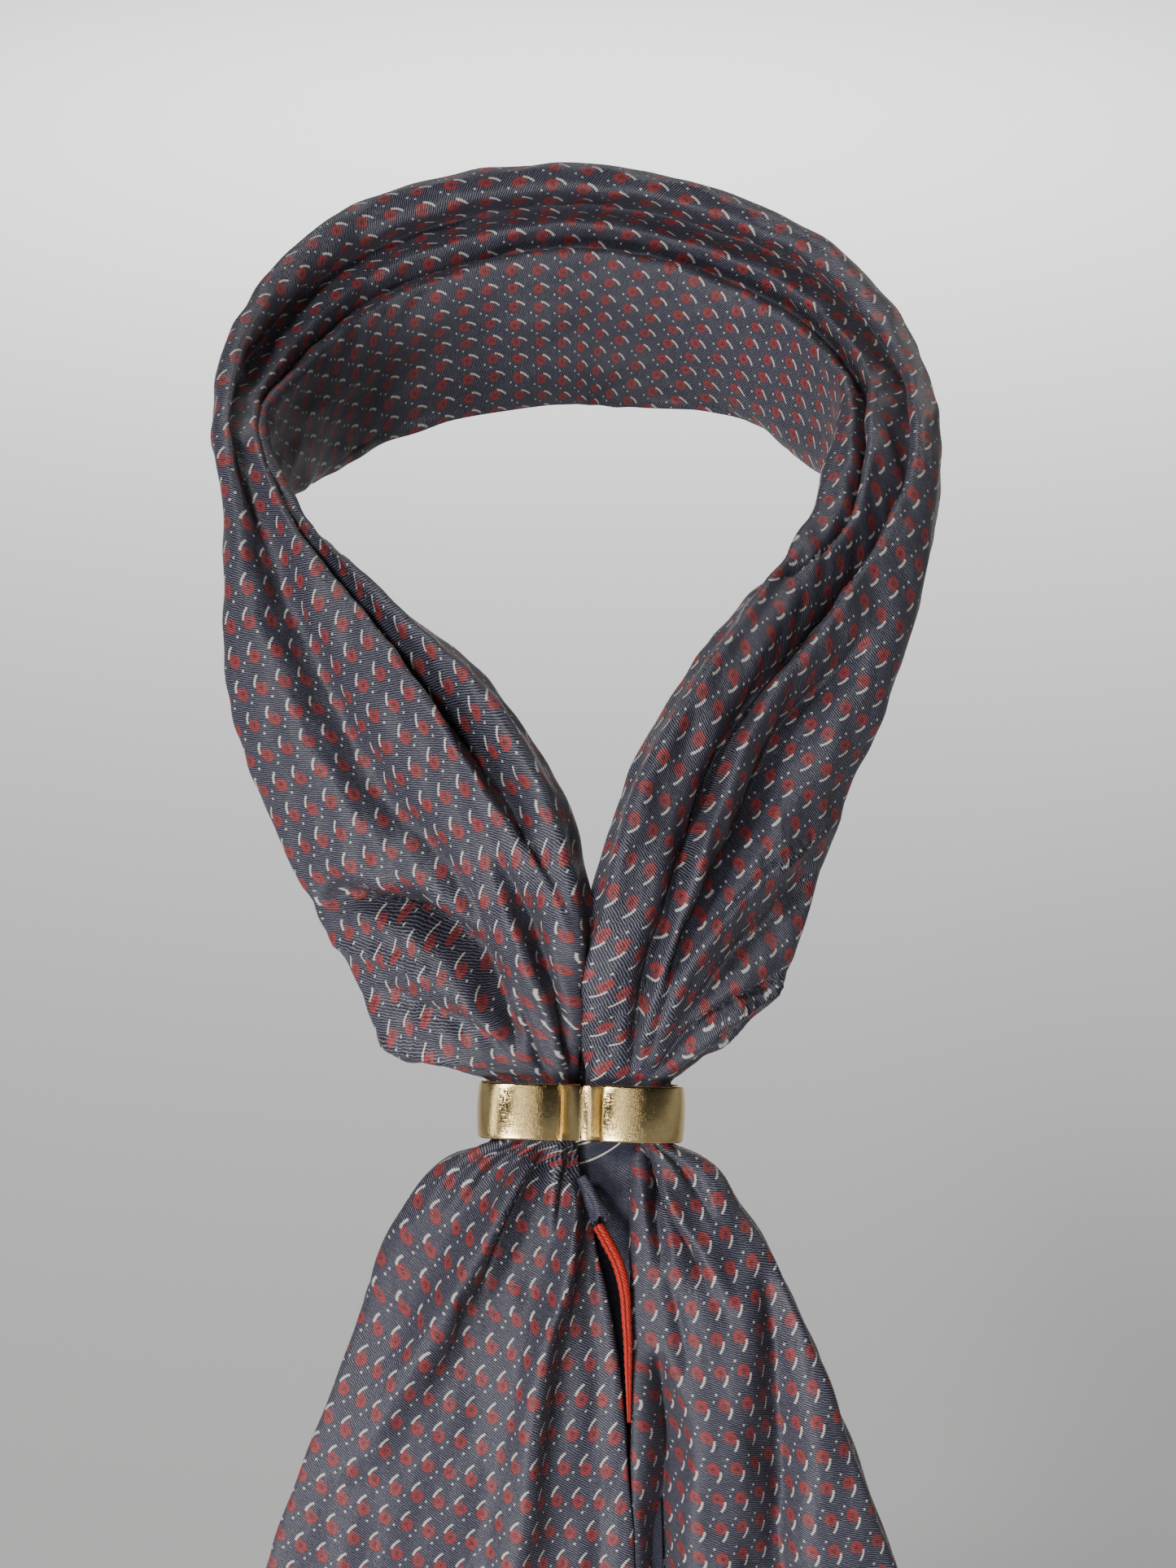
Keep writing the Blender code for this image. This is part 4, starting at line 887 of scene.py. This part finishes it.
# ---- the scarf ring ----
# A figure-8 ring of two oval tubes that share their middle wall, cast in brass, plated and polished, with
# softened rims and the fine scratches of wear. It slides up and down both ends.
RING_CENTRE = (-1.4, -82, -111)
RING_LEAN, RING_ROLL = 27, 1.8       # degrees
LOBE_CENTRES = (-10.3, 10.3)         # millimetres from the ring's middle
LOBE_HALF_WIDTH, LOBE_HALF_DEPTH, LOBE_MEAN_RADIUS = 10.7, 7.25, 9
RING_HALF_HEIGHT, RING_WALL = 5.7, 1.2
BARREL = 0.30                        # how far the walls draw in towards the rims
RIM_MIDDLE, RIM_HALF_WIDTH, RIM_RISE = 0.74, 0.44, 0.45
LOBE_SQUARENESS = 2.5
VALLEY_DEPTH, VALLEY_FLARE = 5.6, 0.16   # how far the filled valley between the lobes stands from the middle
VALLEY_REACH, INNER_WALL = 4, 2.2    # to each side, and how far the middle wall is left as it is
LOBE_SIDES = 120
GOLD_WORN, GOLD_BRIGHT = (0.60, 0.43, 0.17), (0.84, 0.66, 0.34)

straight = RING_HALF_HEIGHT - 0.5
rim = [(RIM_MIDDLE - RIM_HALF_WIDTH * math.cos(turn), RING_HALF_HEIGHT - RIM_RISE + RIM_RISE * math.sin(turn))
       for turn in np.radians((30, 60, 90, 120, 150))]
profile = np.array([*((BARREL * t * t, t * straight) for t in np.linspace(-1, 1, 11)), *rim,
                    *((RING_WALL, t * straight) for t in np.linspace(1, -1, 5)), *((x, -z) for x, z in reversed(rim))])
around = np.arange(LOBE_SIDES) * 2 * math.pi / LOBE_SIDES
reach = (abs(np.cos(around)) ** LOBE_SQUARENESS + abs(np.sin(around)) ** LOBE_SQUARENESS) ** (-1 / LOBE_SQUARENESS)
x = (reach * np.cos(around))[:, None] * (LOBE_HALF_WIDTH - profile[:, 0])
y = (reach * np.sin(around))[:, None] * (LOBE_HALF_DEPTH - profile[:, 0])
sides = len(profile)
index = np.arange(LOBE_SIDES * sides).reshape(LOBE_SIDES, sides)
onward = np.roll(index, -1, axis=0)
lobe_faces = np.stack([index, onward, np.roll(onward, -1, axis=1), np.roll(index, -1, axis=1)], axis=2).reshape(-1, 4)
ring_turn = np.array(mathutils.Euler((math.radians(-RING_LEAN), math.radians(RING_ROLL), 0)).to_matrix())
ring_points, ring_flat = [], []
for middle in LOBE_CENTRES:
    seam = np.minimum(x + middle, 0) if middle < 0 else np.maximum(x + middle, 0)
    valley = VALLEY_DEPTH + VALLEY_FLARE * seam ** 2 - profile[:, 0]
    filled = (profile[:, 0] < RING_WALL) & (abs(seam) < VALLEY_REACH) & (abs(y) > INNER_WALL) & (abs(y) < valley)
    lobe = grid_of(np.where(filled, seam, x + middle), np.where(filled, np.sign(y) * valley, y), profile[:, 1])
    ring_points.append(lobe.reshape(-1, 3) @ ring_turn.T + RING_CENTRE)
    ring_flat.append(grid_of(around[:, None] * LOBE_MEAN_RADIUS, profile[:, 1]).reshape(-1, 2))
ring_faces = np.concatenate([lobe_faces, lobe_faces + LOBE_SIDES * sides])

ring_metal, tree, ring_shader = material("polished_gold_plate")
place = cloth_place(tree)
wear = speckle(place, 0.35, 4.0)
scratches = math_node("MAXIMUM", *(speckle(place, 1.0, 4.0, way) for way in ((0.5, 9, 1), (7, 0.6, 1))))
tree.links.new(mixed(wear, GOLD_WORN, GOLD_BRIGHT), ring_shader.inputs["Base Color"])
tree.links.new(plus(0.03, times(scratches, 0.12)), ring_shader.inputs["Roughness"])
in_relief(scratches, 0.35, 0.0001)
ring_shader.inputs["Metallic"].default_value = 1.0
scarf_ring = shell_piece("scarf_ring_polished", np.concatenate(ring_points), ring_faces, np.concatenate(ring_flat),
                         ring_metal)
scarf_ring.data.set_sharp_from_angle(angle=math.radians(50))
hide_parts("scarf_ring")
